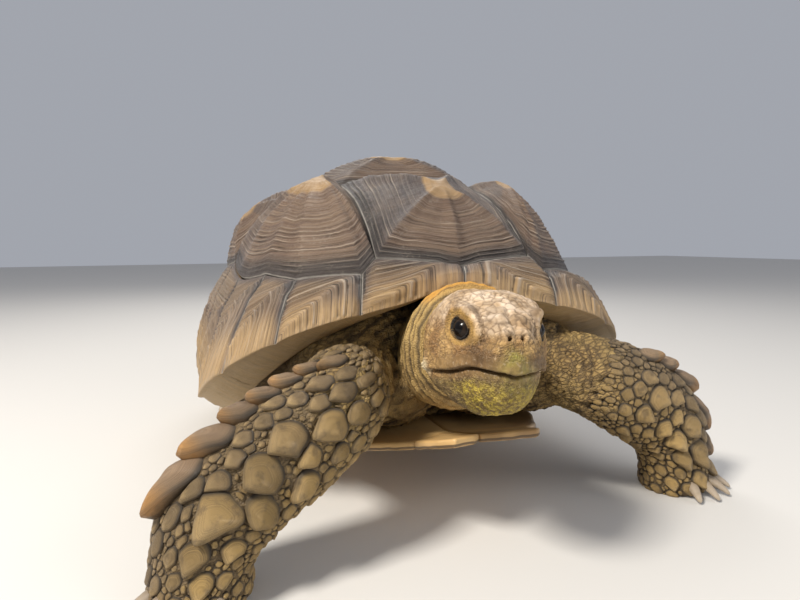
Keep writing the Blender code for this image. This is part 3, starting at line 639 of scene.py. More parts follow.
def marginal(name, start, end, side, material, twin=False, columns=50, rows=90):
    """Sections round the rim: over the top from the seam to the rim, round it, back underneath
    to the lip and up the inside. twin makes a plate that lies across the midline at the back."""
    t = np.linspace(0, 1, columns)
    turns = start + (end - start) * t
    sides = np.full(columns, float(side))
    if twin:
        turns = np.concatenate([turns, turns[-2::-1]])
        sides = np.concatenate([np.full(columns, -1.0), np.full(columns - 1, 1.0)])
        t = np.abs(np.linspace(-1, 1, len(turns)))
    mirror = np.stack([sides, sides * 0 + 1, sides * 0 + 1], -1)
    inner, outer = ring(turns, 1) * mirror[:, :2], polar(1, turns) * mirror[:, :2]
    share = np.concatenate([np.linspace(0.012, 0.95, rows), np.linspace(0.96, 1, 6)])[:, None]
    flat = inner + share[..., None] * (outer - inner)
    bare, wall = dome(flat), outward(flat)

    length = np.linalg.norm(dome(outer)[1:] - dome(outer)[:-1], axis=-1).sum()
    width = length / (2 if twin else 1)
    reach = np.linalg.norm(dome(outer) - dome(inner), axis=-1)
    behind = 1 - t if twin else t
    from_back = (1 - behind) * width + 0 * share
    from_back = from_back * min(1, MARGINAL_LEAN * reach.mean() / width)
    from_rim = (1 - share) * reach
    growth = (np.maximum(from_back, 1e-4) ** 14 + np.maximum(from_rim * 0.95, 1e-4) ** 14) ** (1 / 14)
    years = growth / (YEAR * 1.05)
    corner = from_back - from_rim * 0.95
    arm = smooth(corner / 0.003 + 0.5)
    along_edge = (1 - t) * width if twin else np.minimum(t, 1 - t) * length

    seed = sum(map(ord, name))
    rise = np.interp(share, (0, 0.05, 0.35, 0.72, 1), (-0.0022, -0.0012, 0.0038, 0.003, 0.0008))
    rise = rise - 0.0014 * (1 - smooth(along_edge / 0.0022)) * smooth(share * 8)
    rise = rise - 0.0018 * (1 - smooth(along_edge / 0.011)) * smooth(share * 5)
    rise = rise + (0.0026 * bell(corner / 0.007) * smooth(share * 5) * smooth(along_edge / 0.008)
                   * (1 - ramp(share, 0.85, 0.15)))
    steps = terraces(years, bare, seed) / TERRACE * smooth(share * 9)
    steps = steps * (1 - ramp(share, 0.94, 0.06)) * smooth(along_edge / 0.004)
    steps = steps * smooth(growth / 0.012)
    over = bare + (rise + steps * MARGINAL_STEP)[..., None] * wall

    place, edge = over[-1], lip(turns, 1) * mirror
    under = dome(outer) - 0.0035 * outward(outer) - 0.001 * rim_normal(dome(outer))
    half_round = []
    for a in np.linspace(0, 1, 7)[1:-1]:
        bow = math.sin(a * math.pi) * 0.0011
        half_round.append(place + (under - place) * a + bow * rim_normal(place))
    below = []
    for a in np.linspace(0, 1, 16):
        dip = np.array([0, 0, -0.006 * a * (1 - a)])
        below.append(under + (edge - under) * a + dip)
    below = np.array(below)
    grain = 0.00035 * waves(below, 0.012, seed + 3) * np.sin(np.linspace(0, np.pi, 16))[:, None]
    below[..., 2] += grain
    start_in = inner + 0.012 * (outer - inner)
    inside = dome(start_in) - SCUTE * outward(start_in)
    walls = [edge + (inside - edge) * a for a in (0.5, 1)]
    section = np.concatenate([over, np.array(half_round), below, np.array(walls)])
    sections = np.swapaxes(section, 0, 1)
    sections[0] += (sections[1] - sections[0]) * 0.03
    sections[-1] += (sections[-2] - sections[-1]) * 0.03

    trough = (1 - ramp(along_edge, 0.0022, 0.0035)) * (1 - ramp(share, 0.8, 0.15))
    # strength of the painted grey sky reflection, most on the plate's upper part and its arm
    sky_sheen = 0.15 + 0.3 * arm + 0.6 * (1 - ramp(share, 0.22, 0.3))
    sky_sheen = sky_sheen * smooth(growth / 0.02) * (1 - ramp(share, 0.75, 0.2))
    tone = 0.4 - 0.1 * arm + 0.62 * ramp(share, 0.5, 0.42)
    tone = tone - 0.5 * (1 - smooth(along_edge / 0.009)) - 0.4 * (1 - smooth(share * reach / 0.013))
    blank = np.zeros((len(section) - len(over), len(t)))
    # each field on the top, on the rest of the section, and at the two end points
    parts = {"share": (0.55 + 0.4 * trough, blank + 0.5, 0.5),
             "growth": (years, blank + t * length / 0.0026, 3),
             "sky_sheen": (sky_sheen, blank, 0),
             "seam": (np.minimum(share * reach, along_edge + 0 * share), blank + 0.01, 0),
             "step": (steps, blank, 0),
             "tone": (tone, blank + 1.25, 1)}
    fields = {key: np.append(np.concatenate([high, rest]).T.ravel(), [end, end])
              for key, (high, rest, end) in parts.items()}
    return solid(name, [facing_out(*wrapped(sections))], material,
                 [name.replace("scute_", "")], fields)


for side, word in ((1, "left"), (-1, "right")):
    stops = [0, *MARGINAL_SEAMS]
    for n, (start, end) in enumerate(zip(stops, stops[1:]), 1):
        marginal(f"scute_marginal_{word}_{n}", start, end, side, CARAPACE_HORN,
                 columns=70 if n < 5 else 50)
marginal("scute_supracaudal", MARGINAL_SEAMS[-1], 180, 1, CARAPACE_HORN, twin=True)

# ---- plastron ----
# Twelve flat horn plates in pairs under the belly. The gulars at the front stick out below the
# neck like a short fork. Golden brown, rubbed smooth, with faint growth rings.
PLASTRON = 0.007
SEAM_POINTS = tuple((0, y) for y in (-0.268, -0.212, -0.122, -0.08, 0.085, 0.152, 0.198))
BELLY_GOLD, BELLY_PALE = (0.66, 0.42, 0.17), (0.56, 0.4, 0.2)
BELLY_BROWN, BELLY_DARK = (0.36, 0.22, 0.095), (0.075, 0.05, 0.03)


def bridge(degrees):
    """Where the plastron meets the marginals' lip."""
    edge = lip(np.array(float(degrees)), 1)
    return tuple((edge - 0.0012 * rim_normal(edge))[:2])


def plastron_outlines():
    """Corners of the left plates, from above."""
    m = SEAM_POINTS
    return {
        "gular": [m[0], (0.012, -0.284), (0.034, -0.298), (0.043, -0.286), (0.05, -0.258), m[1]],
        "humeral": [m[1], (0.05, -0.258), (0.08, -0.222), (0.098, -0.188), (0.108, -0.152), m[2]],
        "pectoral": [m[2], (0.108, -0.152), (0.124, -0.134), (0.146, -0.118), bridge(66),
                     bridge(74), m[3]],
        "abdominal": [m[3], bridge(74), bridge(82), bridge(90), bridge(98), bridge(105),
                      bridge(112), (0.14, 0.106), (0.113, 0.122), m[4]],
        "femoral": [m[4], (0.113, 0.122), (0.094, 0.146), (0.086, 0.172), (0.076, 0.196), m[5]],
        "anal": [m[5], (0.076, 0.196), (0.063, 0.22), (0.048, 0.232), (0.03, 0.226), m[6]],
    }


def belly_height(xy):
    """Underside of the plastron: flat, turned up to the bridges, the gulars and the anals."""
    x, y = np.abs(xy[..., 0]), xy[..., 1]
    side = ramp(x, 0.115, 0.06) * smooth((0.15 - np.abs(y)) / 0.03)
    return (lip(np.array(84.0), 1)[2] * side + 0.026 * np.clip((-y - 0.2) / 0.1, 0, 1) ** 1.3
            + 0.016 * np.clip((y - 0.16) / 0.07, 0, 1) ** 1.6)


def plastron_horn():
    """Rubbed horn, golden with brown patches and rings and a dark line in the seams."""
    material, shader, net = finish_of("plastron_horn", 0.42, Specular_IOR_Level=0.4)
    seam, growth = net.field("seam"), net.field("growth")
    patches, _, fine = net.use(GRAIN, Size=45)
    lines, _ = net.use(RING_LINES, Growth=growth)
    net.color = net.mix(net.span(patches, 0.38, 0.66), BELLY_GOLD, BELLY_BROWN)
    net.lay(net.span(lines, 0.5, 0.75, 0, 0.5), BELLY_PALE)
    net.lay(net.span(lines, 0.46, 0.28, 0, 0.6), BELLY_BROWN)
    net.lay(net.span(seam, 0.0016, 0.0002, 0, 0.85), BELLY_DARK)
    relief = net.math("ADD", lines, net.times(fine, 0.3))
    net.dress(shader, relief, 0.4, 0.0008)
    return material


def belly_plate(name, corners, material, columns=100, rows=30):
    """Flat plate between its upper and lower side, both rounded over at the edge, its underside
    with faint rings beside the edge."""
    loop, _, _ = even_loop(counter_clockwise(corners), columns)
    middle, edge = centre_of(loop), shrink(loop, 0.00017)
    share = 1 - np.linspace(0, 1, rows + 1)[:-1, None, None] ** 1.5
    flat = middle + share * (edge - middle)
    from_edge = (1 - share[..., 0]) * np.linalg.norm(edge - middle, axis=-1)
    turned = np.clip(1 - from_edge / 0.003, 0, 1)
    z = belly_height(flat) + 0.0026 * (1 - np.sqrt(1 - turned**2))
    growth = from_edge / 0.0032
    place = np.concatenate([flat, z[..., None]], -1)
    z = z + 0.22 * terraces(growth, place, 7) * smooth(from_edge / 0.004)
    z = z + 0.0003 * waves(place, 0.02, 3)
    lower = np.concatenate([flat, np.maximum(z, belly_height(flat))[..., None]], -1)
    top_share = np.array([0.3, 0.7, 0.93, 0.985, 1.0])[:, None, None]
    flat = middle + top_share * (edge - middle)
    drop = np.array([0, 0, 0, 0.0007, 0.0022])[:, None]
    upper = np.concatenate([flat, (belly_height(flat) + PLASTRON - drop)[..., None]], -1)
    body = wrapped(np.concatenate([upper, lower]))
    body[0][-2:, :2] = middle
    pad = np.ones((len(upper), len(loop)))
    fields = {"growth": np.append(np.concatenate([pad * 0, growth]), [9, 9]),
              "seam": np.append(np.concatenate([pad * 0.01, from_edge]), [0.05, 0.05])}
    return solid(name, [facing_out(*body)], material,
                 [name.replace("plate_", "")], fields)


PLASTRON_HORN = plastron_horn()
for side, word in ((1, "left"), (-1, "right")):
    for plate_name, corners in plastron_outlines().items():
        belly_plate(f"plate_{plate_name}_{word}", np.array(corners) * (side, 1), PLASTRON_HORN)

# ---- skin: trunk, legs and tail ----
# One loose, wrinkled hide over the body. Trunk, shoulders, limbs and tail are grown together,
# and the part hidden under the shell is kept coarse.
CLEARANCE = SHELL_AT[2]                        # ground to plastron
COAT = {"foreleg": 0.003, "hindleg": 0.0024, "tail": 0.0016}   # how deep the scales stand
SKIN_CELL = 0.0032
SQUEEZE_FROM, SQUEEZE_TO, SQUEEZE = FRONT_WALL + 0.015, BACK_WALL - 0.015, 0.12
FORELEG_SIZES = ((0, 0.036, 0.041), (0.5, 0.034, 0.036), (1, 0.037, 0.033), (1.5, 0.041, 0.031),
                 (2, 0.04, 0.03), (2.5, 0.034, 0.029), (2.85, 0.034, 0.033), (3, 0.031, 0.03))


def spline(stops, s):
    """Catmull-Rom curve, which passes stops[1] at s = 0, stops[2] at s = 1 and so on."""
    stops, s = np.asarray(stops, float), np.asarray(s, float)
    i = np.clip(s.astype(int), 0, len(stops) - 4)
    f = (s - i)[:, None]
    a, b, c, d = (stops[i + k] for k in range(4))
    return 0.5 * (2 * b + (c - a) * f + (2 * a - 5 * b + 4 * c - d) * f**2
                  + (3 * b - a - 3 * c + d) * f**3)


class Limb:
    """A limb as a tube: its centre line and two half axes, each as a function of the way along
    it, which runs from 0 at the body to its length in metres."""

    def __init__(self, centre, across, up):
        steps = np.linalg.norm(np.diff(centre, axis=0), axis=1)
        self.stops = np.concatenate([[0], np.cumsum(steps)])
        self.length = self.stops[-1]
        self.rows = np.concatenate([centre, across, up], 1)
        self.girth = np.pi * (np.linalg.norm(across, axis=1) + np.linalg.norm(up, axis=1))

    def at(self, along, turn, out=0.0):
        """Surface point: centre + across cos + up sin, with cos and sin raised to 2 / 2.2."""
        row = np.stack([np.interp(along, self.stops, k) for k in self.rows.T], -1)
        centre, across, up = row[..., :3], row[..., 3:6], row[..., 6:]
        c, s = (np.sign(w) * np.abs(w) ** (2 / 2.2) for w in (np.cos(turn), np.sin(turn)))
        out = np.asarray(out)[..., None]
        return (centre + c[..., None] * (across + out * unit(across))
                + s[..., None] * (up + out * unit(up)))

    def normal(self, along, turn):
        """Unit normal of the surface, pointing out."""
        ahead = self.at(along + 0.002, turn) - self.at(along - 0.002, turn)
        beside = self.at(along, turn + 0.03) - self.at(along, turn - 0.03)
        n = unit(np.cross(ahead, beside))
        middle = np.stack([np.interp(along, self.stops, k) for k in self.rows.T[:3]], -1)
        away = np.sum(n * (self.at(along, turn) - middle), -1)
        return n * np.where(away < 0, -1, 1)[..., None]

    def around(self, along):
        """Length once round the limb."""
        return np.interp(along, self.stops, self.girth)

    def tube(self, out, rings=60, points=48):
        """The limb as a closed body."""
        along, turn = np.meshgrid(np.linspace(0, self.length, rings),
                                  np.arange(points) / points * 2 * np.pi, indexing="ij")
        return facing_out(*wrapped(self.at(along, turn, out)))


def foreleg(side, elbow, wrist, foot, toe_turn):
    """Upper arm forwards out of the shell, broad flat forearm outwards and down to the foot."""
    root = np.array([side * 0.094, FRONT_WALL, 0.05])
    elbow, wrist, foot = (np.array(p) * (side, 1, 1) for p in (elbow, wrist, foot))
    stops = [root + (0, 0.04, 0), root, elbow, wrist, foot, foot - (0, 0, 0.05)]
    beside = np.array([side * math.cos(toe_turn), math.sin(toe_turn), 0])
    hints = np.array([(0, 0, 1), (side * 0.3, 0, 1), (side * 0.85, 0.1, 0.5), beside])
    places, ups, acrosses = np.array(FORELEG_SIZES).T
    s = np.linspace(0, 3, 150)
    centre = spline(stops, s)
    travel = unit(spline(stops, np.minimum(s + 0.02, 3)) - spline(stops, np.maximum(s - 0.02, 0)))
    hint = np.stack([np.interp(s, range(4), hints[:, k]) for k in range(3)], -1)
    up = unit(hint - travel * np.sum(hint * travel, -1, keepdims=True))
    return Limb(centre, np.cross(up, travel) * np.interp(s, places, acrosses)[:, None],
                up * np.interp(s, places, ups)[:, None])


def column(rows, side, count=120):
    """Limb through rows (x, y, z, half width, half depth, tip in degrees)."""
    s = np.linspace(0, len(rows) - 1.001, count)
    x, y, z, wide, deep, tip = spline([rows[0], *rows, rows[-1]], s).T
    tip = np.radians(tip)
    zero = np.zeros(count)
    return Limb(np.stack([side * x, y, z], -1), np.stack([wide, zero, zero], -1),
                np.stack([zero, deep * np.cos(tip), deep * np.sin(tip)], -1))


HINDLEG_ROWS = ((0.088, BACK_WALL, 0.044, 0.038, 0.032, 90), (0.097, 0.156, 0.043, 0.037, 0.031, 72),
                (0.113, 0.17, 0.032, 0.035, 0.03, 45), (0.127, 0.177, 0.01, 0.033, 0.031, 16),
                (0.133, 0.179, -0.018, 0.032, 0.032, 0), (0.135, 0.178, -0.044, 0.035, 0.036, 0),
                (0.135, 0.177, -CLEARANCE, 0.033, 0.034, 0))
TAIL_ROWS = ((0, BACK_WALL, 0.036, 0.026, 0.02, 90), (0.001, 0.18, 0.037, 0.024, 0.018, 88),
             (0.003, 0.215, 0.034, 0.02, 0.0145, 70), (0.008, 0.24, 0.018, 0.015, 0.012, 40),
             (0.013, 0.252, -0.002, 0.009, 0.008, 20), (0.016, 0.256, -0.018, 0.003, 0.003, 12))
FORE_FEET = {"right": (0.209, -0.289, -CLEARANCE), "left": (0.212, -0.251, -CLEARANCE)}
TOE_TURN = math.radians(30)
FORELEGS = {
    "right": foreleg(-1, (0.108, -0.262, 0.058), (0.192, -0.285, 0.003), FORE_FEET["right"], TOE_TURN),
    "left": foreleg(1, (0.116, -0.243, 0.056), (0.191, -0.25, 0.012), FORE_FEET["left"], TOE_TURN)}
HINDLEGS = {"left": column(HINDLEG_ROWS, 1), "right": column(HINDLEG_ROWS, -1)}
TAIL = column(TAIL_ROWS, 1)


def ball(centre, radii, rings=24, points=32):
    """Ellipsoid of flesh."""
    a, t = np.meshgrid(np.linspace(-1.45, 1.45, rings), np.arange(points) / points * 2 * np.pi,
                       indexing="ij")
    rows = np.stack([np.cos(a) * np.cos(t), np.cos(a) * np.sin(t), np.sin(a)], -1) * radii
    return facing_out(*wrapped(rows + np.array(centre)))


def squeezed(y):
    """Way along the body with the part under the shell pressed together."""
    return y - (1 - SQUEEZE) * np.clip(y - SQUEEZE_FROM, 0, SQUEEZE_TO - SQUEEZE_FROM)


def let_out(y):
    """Undoes squeezed."""
    inside = np.clip(y - SQUEEZE_FROM, 0, (SQUEEZE_TO - SQUEEZE_FROM) * SQUEEZE)
    return y + inside * (1 / SQUEEZE - 1)


def plain_object(name, parts):
    """A rough working object from closed parts."""
    counts = np.array([len(p) for p, _ in parts])
    faces = [tuple(f) for (_, groups), start in zip(parts, np.cumsum(counts) - counts)
             for g in groups for f in (g + start).tolist()]
    mesh = bpy.data.meshes.new(name)
    mesh.from_pydata(np.concatenate([p for p, _ in parts]).tolist(), [], faces)
    return placed(name, mesh)


def settled(obj):
    """The object's mesh as its modifiers leave it; the object itself goes."""
    bpy.context.view_layer.update()
    mesh = bpy.data.meshes.new_from_object(obj.evaluated_get(bpy.context.evaluated_depsgraph_get()))
    bpy.data.objects.remove(obj)
    return mesh


def points_of(mesh):
    """Where the mesh's points are."""
    points = np.empty(len(mesh.vertices) * 3, np.float32)
    mesh.vertices.foreach_get("co", points)
    return points.reshape(-1, 3).astype(float)


def move_points(mesh, points):
    """Puts the mesh's points somewhere else."""
    mesh.vertices.foreach_set("co", points.astype(np.float32).ravel())
    mesh.update()


def normals_of(mesh):
    """Normals at the mesh's points."""
    normals = np.empty(len(mesh.vertices) * 3, np.float32)
    mesh.vertex_normals.foreach_get("vector", normals)
    return normals.reshape(-1, 3).astype(float)


def triangles_of(mesh):
    """Corners of the mesh's triangles."""
    mesh.calc_loop_triangles()
    corners = np.empty(len(mesh.loop_triangles) * 3, np.int32)
    mesh.loop_triangles.foreach_get("vertices", corners)
    return corners.reshape(-1, 3)


def trunk_filling():
    """The trunk under the plates, a little inside its room."""
    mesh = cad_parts["trunk"].data
    points = points_of(mesh) - SHELL_AT
    middle = np.array([0, -0.0125, 0.09])
    points = middle + (points - middle) * (0.985, 1, 0.975)
    return points, (triangles_of(mesh),)


def body_skin():
    """Trunk, limbs, tail and the flesh of the shoulders and thighs, melted into one smooth body."""
    parts = [trunk_filling()]
    for limbs, kind in ((FORELEGS, "foreleg"), (HINDLEGS, "hindleg")):
        parts += [limb.tube(-COAT[kind]) for limb in limbs.values()]
    parts.append(TAIL.tube(-COAT["tail"]))
    for side in (1, -1):
        parts.append(ball((side * 0.07, -0.176, 0.09), (0.052, 0.036, 0.046)))
        parts.append(ball((side * 0.088, -0.19, 0.06), (0.046, 0.05, 0.046)))
        parts.append(ball((side * 0.046, -0.184, 0.046), (0.044, 0.04, 0.034)))
        parts.append(ball((side * 0.08, 0.15, 0.05), (0.052, 0.034, 0.036)))
    parts.append(ball((0, 0.148, 0.044), (0.06, 0.026, 0.032)))
    for points, _ in parts:
        points[:, 1] = squeezed(points[:, 1])
    rough = plain_object("rough_body", parts)
    remesh = rough.modifiers.new("even", "REMESH")
    remesh.mode, remesh.voxel_size = "VOXEL", SKIN_CELL
    soften = rough.modifiers.new("soften", "SMOOTH")
    soften.factor, soften.iterations = 0.5, 7
    mesh = settled(rough)
    points = points_of(mesh)
    points[:, 1] = let_out(points[:, 1])
    points[:, 2] = np.maximum(points[:, 2], -CLEARANCE + 0.0004)
    move_points(mesh, points)
    return mesh


def wrinkles(points):
    """Folds of loose hide: ridges with narrow creases between them, across the shoulders and
    round the roots of the limbs. Returns how far they stand out and how deep the creases are."""
    x, y, z = points.T
    near = ramp(-y, 0.15, 0.02) + ramp(y, 0.128, 0.015)
    near = near * (1 - 0.7 * ramp(np.abs(x), 0.105, 0.03))
    phase = (z + 0.25 * np.abs(x)) / 0.0135 + 1.3 * waves(points, 0.05, 41)
    phase = phase + 0.25 * waves(points, 0.022, 42)
    ridge = np.abs(np.cos(np.pi * phase)) ** 0.7
    slant = (np.abs(x) + 0.8 * y - 0.9 * z) / 0.019 + 0.9 * waves(points, 0.06, 43)
    second = np.abs(np.cos(np.pi * slant)) ** 0.6
    height = near * (0.004 * (ridge - 0.7) + 0.003 * (second - 0.7))
    creases = np.maximum(np.clip(1.15 - ridge * 1.3, 0, 1), 0.8 * np.clip(1.1 - second * 1.5, 0, 1))
    return height, near * creases * 0.85


body_mesh = body_skin()
body_points = points_of(body_mesh)
body_points += normals_of(body_mesh) * wrinkles(body_points)[0][:, None]
body_points[:, 2] = np.maximum(body_points[:, 2], -CLEARANCE + 0.0004)
move_points(body_mesh, body_points)

# ---- skin: neck ----
# The short neck is drawn back into its own loose hide, which lies in half a dozen narrow folds
# round the back of the head like a collar.
NECK_ROWS = ((-0.15, 0.000, 0.076, 0.043, 0.041), (-0.175, 0.000, 0.077, 0.044, 0.043),
             (-0.205, -0.001, 0.078, 0.046, 0.044), (-0.226, -0.002, 0.08, 0.0475, 0.045),
             (-0.24, -0.004, 0.084, 0.0478, 0.047), (-0.25, -0.006, 0.088, 0.048, 0.0485),
             (-0.258, -0.007, 0.09, 0.0468, 0.0485), (-0.265, -0.009, 0.092, 0.0448, 0.047),
             (-0.272, -0.012, 0.093, 0.043, 0.044), (-0.279, -0.015, 0.094, 0.039, 0.039),
             (-0.284, -0.016, 0.094, 0.03, 0.029))      # y, then x, z, half width, half height
FOLDS_FROM, FOLDS_TO, FOLD = -0.215, -0.281, 0.0104
FOLD_DEPTH = 0.0046


def fold_phase(points):
    """Number of folds from the front one, wandering a little."""
    phase = (points[..., 1] - FOLDS_TO) / FOLD + 0.22 * waves(points, 0.11, 51)
    return phase + 0.06 * waves(points, 0.03, 52)


def neck_skin(rings=104, points=180):
    """Rounded sections along the neck. Each fold is a rounded ridge with a narrow crease behind,
    the absolute cosine of the way along; the folds wander and run together here and there."""
    stops = [NECK_ROWS[0], *NECK_ROWS, NECK_ROWS[-1]]
    share = np.linspace(0, 1, rings)
    y, x, z, wide, high = spline(stops, share**0.72 * (len(NECK_ROWS) - 1.001)).T
    turn = np.arange(points) / points * 2 * np.pi
    c, s = np.cos(turn), np.sin(turn)
    c, s = (np.sign(w) * np.abs(w) ** (2 / 2.15) for w in (c, s))
    rows = np.stack([x[:, None] + wide[:, None] * c, y[:, None] + 0 * c,
                     z[:, None] + high[:, None] * s], -1)
    inside = smooth((FOLDS_FROM - rows[..., 1]) / 0.01) * smooth((rows[..., 1] - FOLDS_TO) / 0.004)
    phase = fold_phase(rows)
    ridge = np.abs(np.cos(np.pi * phase)) ** 0.55
    away = unit(rows - np.stack([x, y, z], -1)[:, None])
    height = FOLD_DEPTH * (ridge - 0.75) * inside
    across = np.abs(np.cos(np.pi * (turn * 22 / np.pi + 0.9 * waves(rows, 0.05, 53)))) ** 0.5
    height += 0.0004 * (across - 0.7) * (0.4 + inside) + 0.0005 * waves(rows, 0.012, 54)
    rows = rows + away * height[..., None]
    rows[..., 1] -= 0.0016 * inside * np.sin(2 * np.pi * phase)
    return facing_out(*wrapped(rows))


# ---- skin: head ----
# A blunt, deep head covered in small hard scales: broad flat ones on the crown, finer ones on
# the cheeks and grains under the jaw. The jaws end in a smooth horn beak. Thick lids ring the eyes.
HEAD_AT = np.array([-0.02, -0.322, 0.098])
HEAD_TURN, HEAD_LIFT, HEAD_ROLL = (math.radians(a) for a in (-9.5, 4, 3.5))
HEAD_MIDDLE = np.array([0, 0.002, -0.002])
HEAD_ROWS = ((0.052, 0.012, 0.01, -0.004, -0.016), (0.046, 0.028, 0.024, -0.004, -0.028),
             (0.036, 0.037, 0.0338, -0.004, -0.0345), (0.022, 0.0406, 0.0402, -0.003, -0.0382),
             (0.01, 0.0408, 0.0417, -0.002, -0.0408), (-0.002, 0.0382, 0.0403, 0.000, -0.0419),
             (-0.012, 0.0336, 0.0364, 0.001, -0.041), (-0.024, 0.0276, 0.0309, 0.000, -0.0377),
             (-0.035, 0.0208, 0.0247, -0.001, -0.0318), (-0.043, 0.0152, 0.0188, -0.002, -0.0252),
             (-0.0475, 0.0098, 0.013, -0.003, -0.0175), (-0.0495, 0.0045, 0.006, -0.003, -0.0095),
             (-0.05, 0.001, 0.001, -0.003, -0.005))   # y, half width, top, widest, bottom
MOUTH = ((-0.05, -0.0084), (-0.043, -0.0074), (-0.035, -0.0068), (-0.028, -0.0072),
         (-0.018, -0.0102), (0.002, -0.013), (0.013, -0.0138))   # y and height of the mouth line
EYE_AT, EYE_RADIUS = np.array([0.0209, -0.0145, 0.0154]), 0.0094
EYE_WAY = unit(np.array([1, -0.6, 0.12]))        # where the left eye looks
EYE_LONG = unit(np.array([0.4, 1.5, 1.0]))      # the lids' long axis, leaning back at the top
LID_HALF_LONG, LID_HALF_SHORT = 0.0091, 0.0064
# bumps and dips on each half of the head: height, place and size, all along the head's own axes
FLESH = ((0.0052, (0.023, -0.0215, 0.0262), (0.0052, 0.0062, 0.0048)),     # brow
         (0.003, (0.0265, -0.007, 0.029), (0.006, 0.011, 0.006)),
         (0.0016, (0.0175, -0.031, 0.0215), (0.0045, 0.0045, 0.005)),
         (0.0024, (0.0065, -0.035, 0.024), (0.0046, 0.0058, 0.006)),     # plates of the snout
         (0.0019, (0.0058, -0.0445, 0.0165), (0.0036, 0.0046, 0.0036)),
         (-0.0024, (0.0000, -0.037, 0.024), (0.0014, 0.011, 0.008)),    # furrows between them
         (-0.0014, (0.009, -0.03, 0.028), (0.006, 0.0018, 0.005)),
         (-0.0012, (0.0062, -0.0412, 0.02), (0.006, 0.0016, 0.004)),
         (-0.002, (0.015, -0.037, 0.012), (0.004, 0.007, 0.0075)),    # hollow before the eye
         (0.0012, (0.037, 0.008, 0.005), (0.008, 0.012, 0.01)),      # cheek and jaw muscle
         (0.0022, (0.035, 0.006, -0.022), (0.008, 0.012, 0.009)),
         (0.0016, (0.027, -0.011, -0.006), (0.008, 0.009, 0.0045)),
         (0.0042, (0.0385, 0.015, -0.0115), (0.007, 0.0034, 0.0042)),     # flap behind the mouth
         (0.0018, (0.0385, 0.012, -0.005), (0.006, 0.003, 0.003)))


def on_animal(points):
    """From the head's own axes to the shell's: roll, then lift, then turn."""
    x, y, z = np.moveaxis(points, -1, 0)
    x, z = (x * math.cos(HEAD_ROLL) + z * math.sin(HEAD_ROLL),
            z * math.cos(HEAD_ROLL) - x * math.sin(HEAD_ROLL))
    y, z = (y * math.cos(HEAD_LIFT) + z * math.sin(HEAD_LIFT),
            z * math.cos(HEAD_LIFT) - y * math.sin(HEAD_LIFT))
    x, y = (x * math.cos(HEAD_TURN) - y * math.sin(HEAD_TURN),
            x * math.sin(HEAD_TURN) + y * math.cos(HEAD_TURN))
    return np.stack([x, y, z], -1) + HEAD_AT


def on_head(points):
    """From the shell's axes to the head's own."""
    x, y, z = np.moveaxis(points - HEAD_AT, -1, 0)
    x, y = (x * math.cos(HEAD_TURN) + y * math.sin(HEAD_TURN),
            y * math.cos(HEAD_TURN) - x * math.sin(HEAD_TURN))
    y, z = (y * math.cos(HEAD_LIFT) - z * math.sin(HEAD_LIFT),
            z * math.cos(HEAD_LIFT) + y * math.sin(HEAD_LIFT))
    x, z = (x * math.cos(HEAD_ROLL) - z * math.sin(HEAD_ROLL),
            z * math.cos(HEAD_ROLL) + x * math.sin(HEAD_ROLL))
    return np.stack([x, y, z], -1)


def through(x, places, values):
    """Smooth curve through values at rising places: cubic pieces whose slope at each place is
    that between its two neighbours."""
    places, values = np.asarray(places, float), np.asarray(values, float)
    slopes = np.gradient(values, places)
    i = np.clip(np.searchsorted(places, x) - 1, 0, len(places) - 2)
    h = places[i + 1] - places[i]
    t = np.clip((x - places[i]) / h, 0, 1)
    a, b, m, n = values[i], values[i + 1], slopes[i] * h, slopes[i + 1] * h
    return a + t * m + t**2 * (3 * (b - a) - 2 * m - n) + t**3 * (2 * (a - b) + m + n)


def mouth_height(p):
    """Height of the mouth line, which dips at the tip of the beak."""
    hook = 0.0012 * bell(p[..., 0] / 0.0045) * ramp(-p[..., 1], 0.036, 0.008)
    return through(p[..., 1], *zip(*MOUTH)) - hook


def head_reach(ways):
    """Distance from the middle of the head to its bare surface in each direction, found by
    halving: inside, (x / half width)^n + (z / half height)^n is under 1, with n 2.6 above the
    widest line and 2.2 below."""
    y_stops, wide, top, widest, low = np.array(HEAD_ROWS)[::-1].T
    near, far = np.zeros(len(ways)), np.full(len(ways), 0.08)
    for _ in range(26):
        r = (near + far) / 2
        x, y, z = (HEAD_MIDDLE + ways * r[:, None]).T
        w, t, m, b = (through(y, y_stops, k) for k in (wide, top, widest, low))
        half = np.where(z > m, t - m, m - b)
        power = np.where(z > m, 2.6, 2.2)
        value = np.abs(x / np.maximum(w, 1e-4)) ** power
        value = value + np.abs((z - m) / np.maximum(half, 1e-4)) ** power
        inside = (value < 1) & (y > y_stops[0]) & (y < y_stops[-1])
        near, far = np.where(inside, r, near), np.where(inside, far, r)
    return near


def blob(p, place, size):
    """1 at a place, falling off over the size along each axis."""
    return np.exp(-np.sum(((p - np.array(place)) / np.array(size)) ** 2, -1))


def mirrored(p):
    """The same points on the left half."""
    return np.concatenate([np.abs(p[..., :1]), p[..., 1:]], -1)


def lid_ring(p):
    """How far a point is from the middle of the eye opening, 1 at its edge, and whether it lies
    on that side of the head."""
    q = mirrored(p) - EYE_AT
    long = unit(EYE_LONG - EYE_WAY * np.dot(EYE_LONG, EYE_WAY))
    short = np.cross(EYE_WAY, long)
    e = np.hypot(q @ long / LID_HALF_LONG, q @ short / LID_HALF_SHORT)
    return e, ramp(q @ EYE_WAY, 0.001, 0.003)


def lid_pad(p):
    """1 on the smooth skin round the eye, which reaches furthest forwards."""
    e, side = lid_ring(p)
    q = mirrored(p) - EYE_AT
    below = ramp(-q[..., 2], 0.007, 0.004)
    return side * smooth((1.5 + 0.85 * smooth(-q[..., 1] / 0.006) * (1 - below) - e) / 0.3)


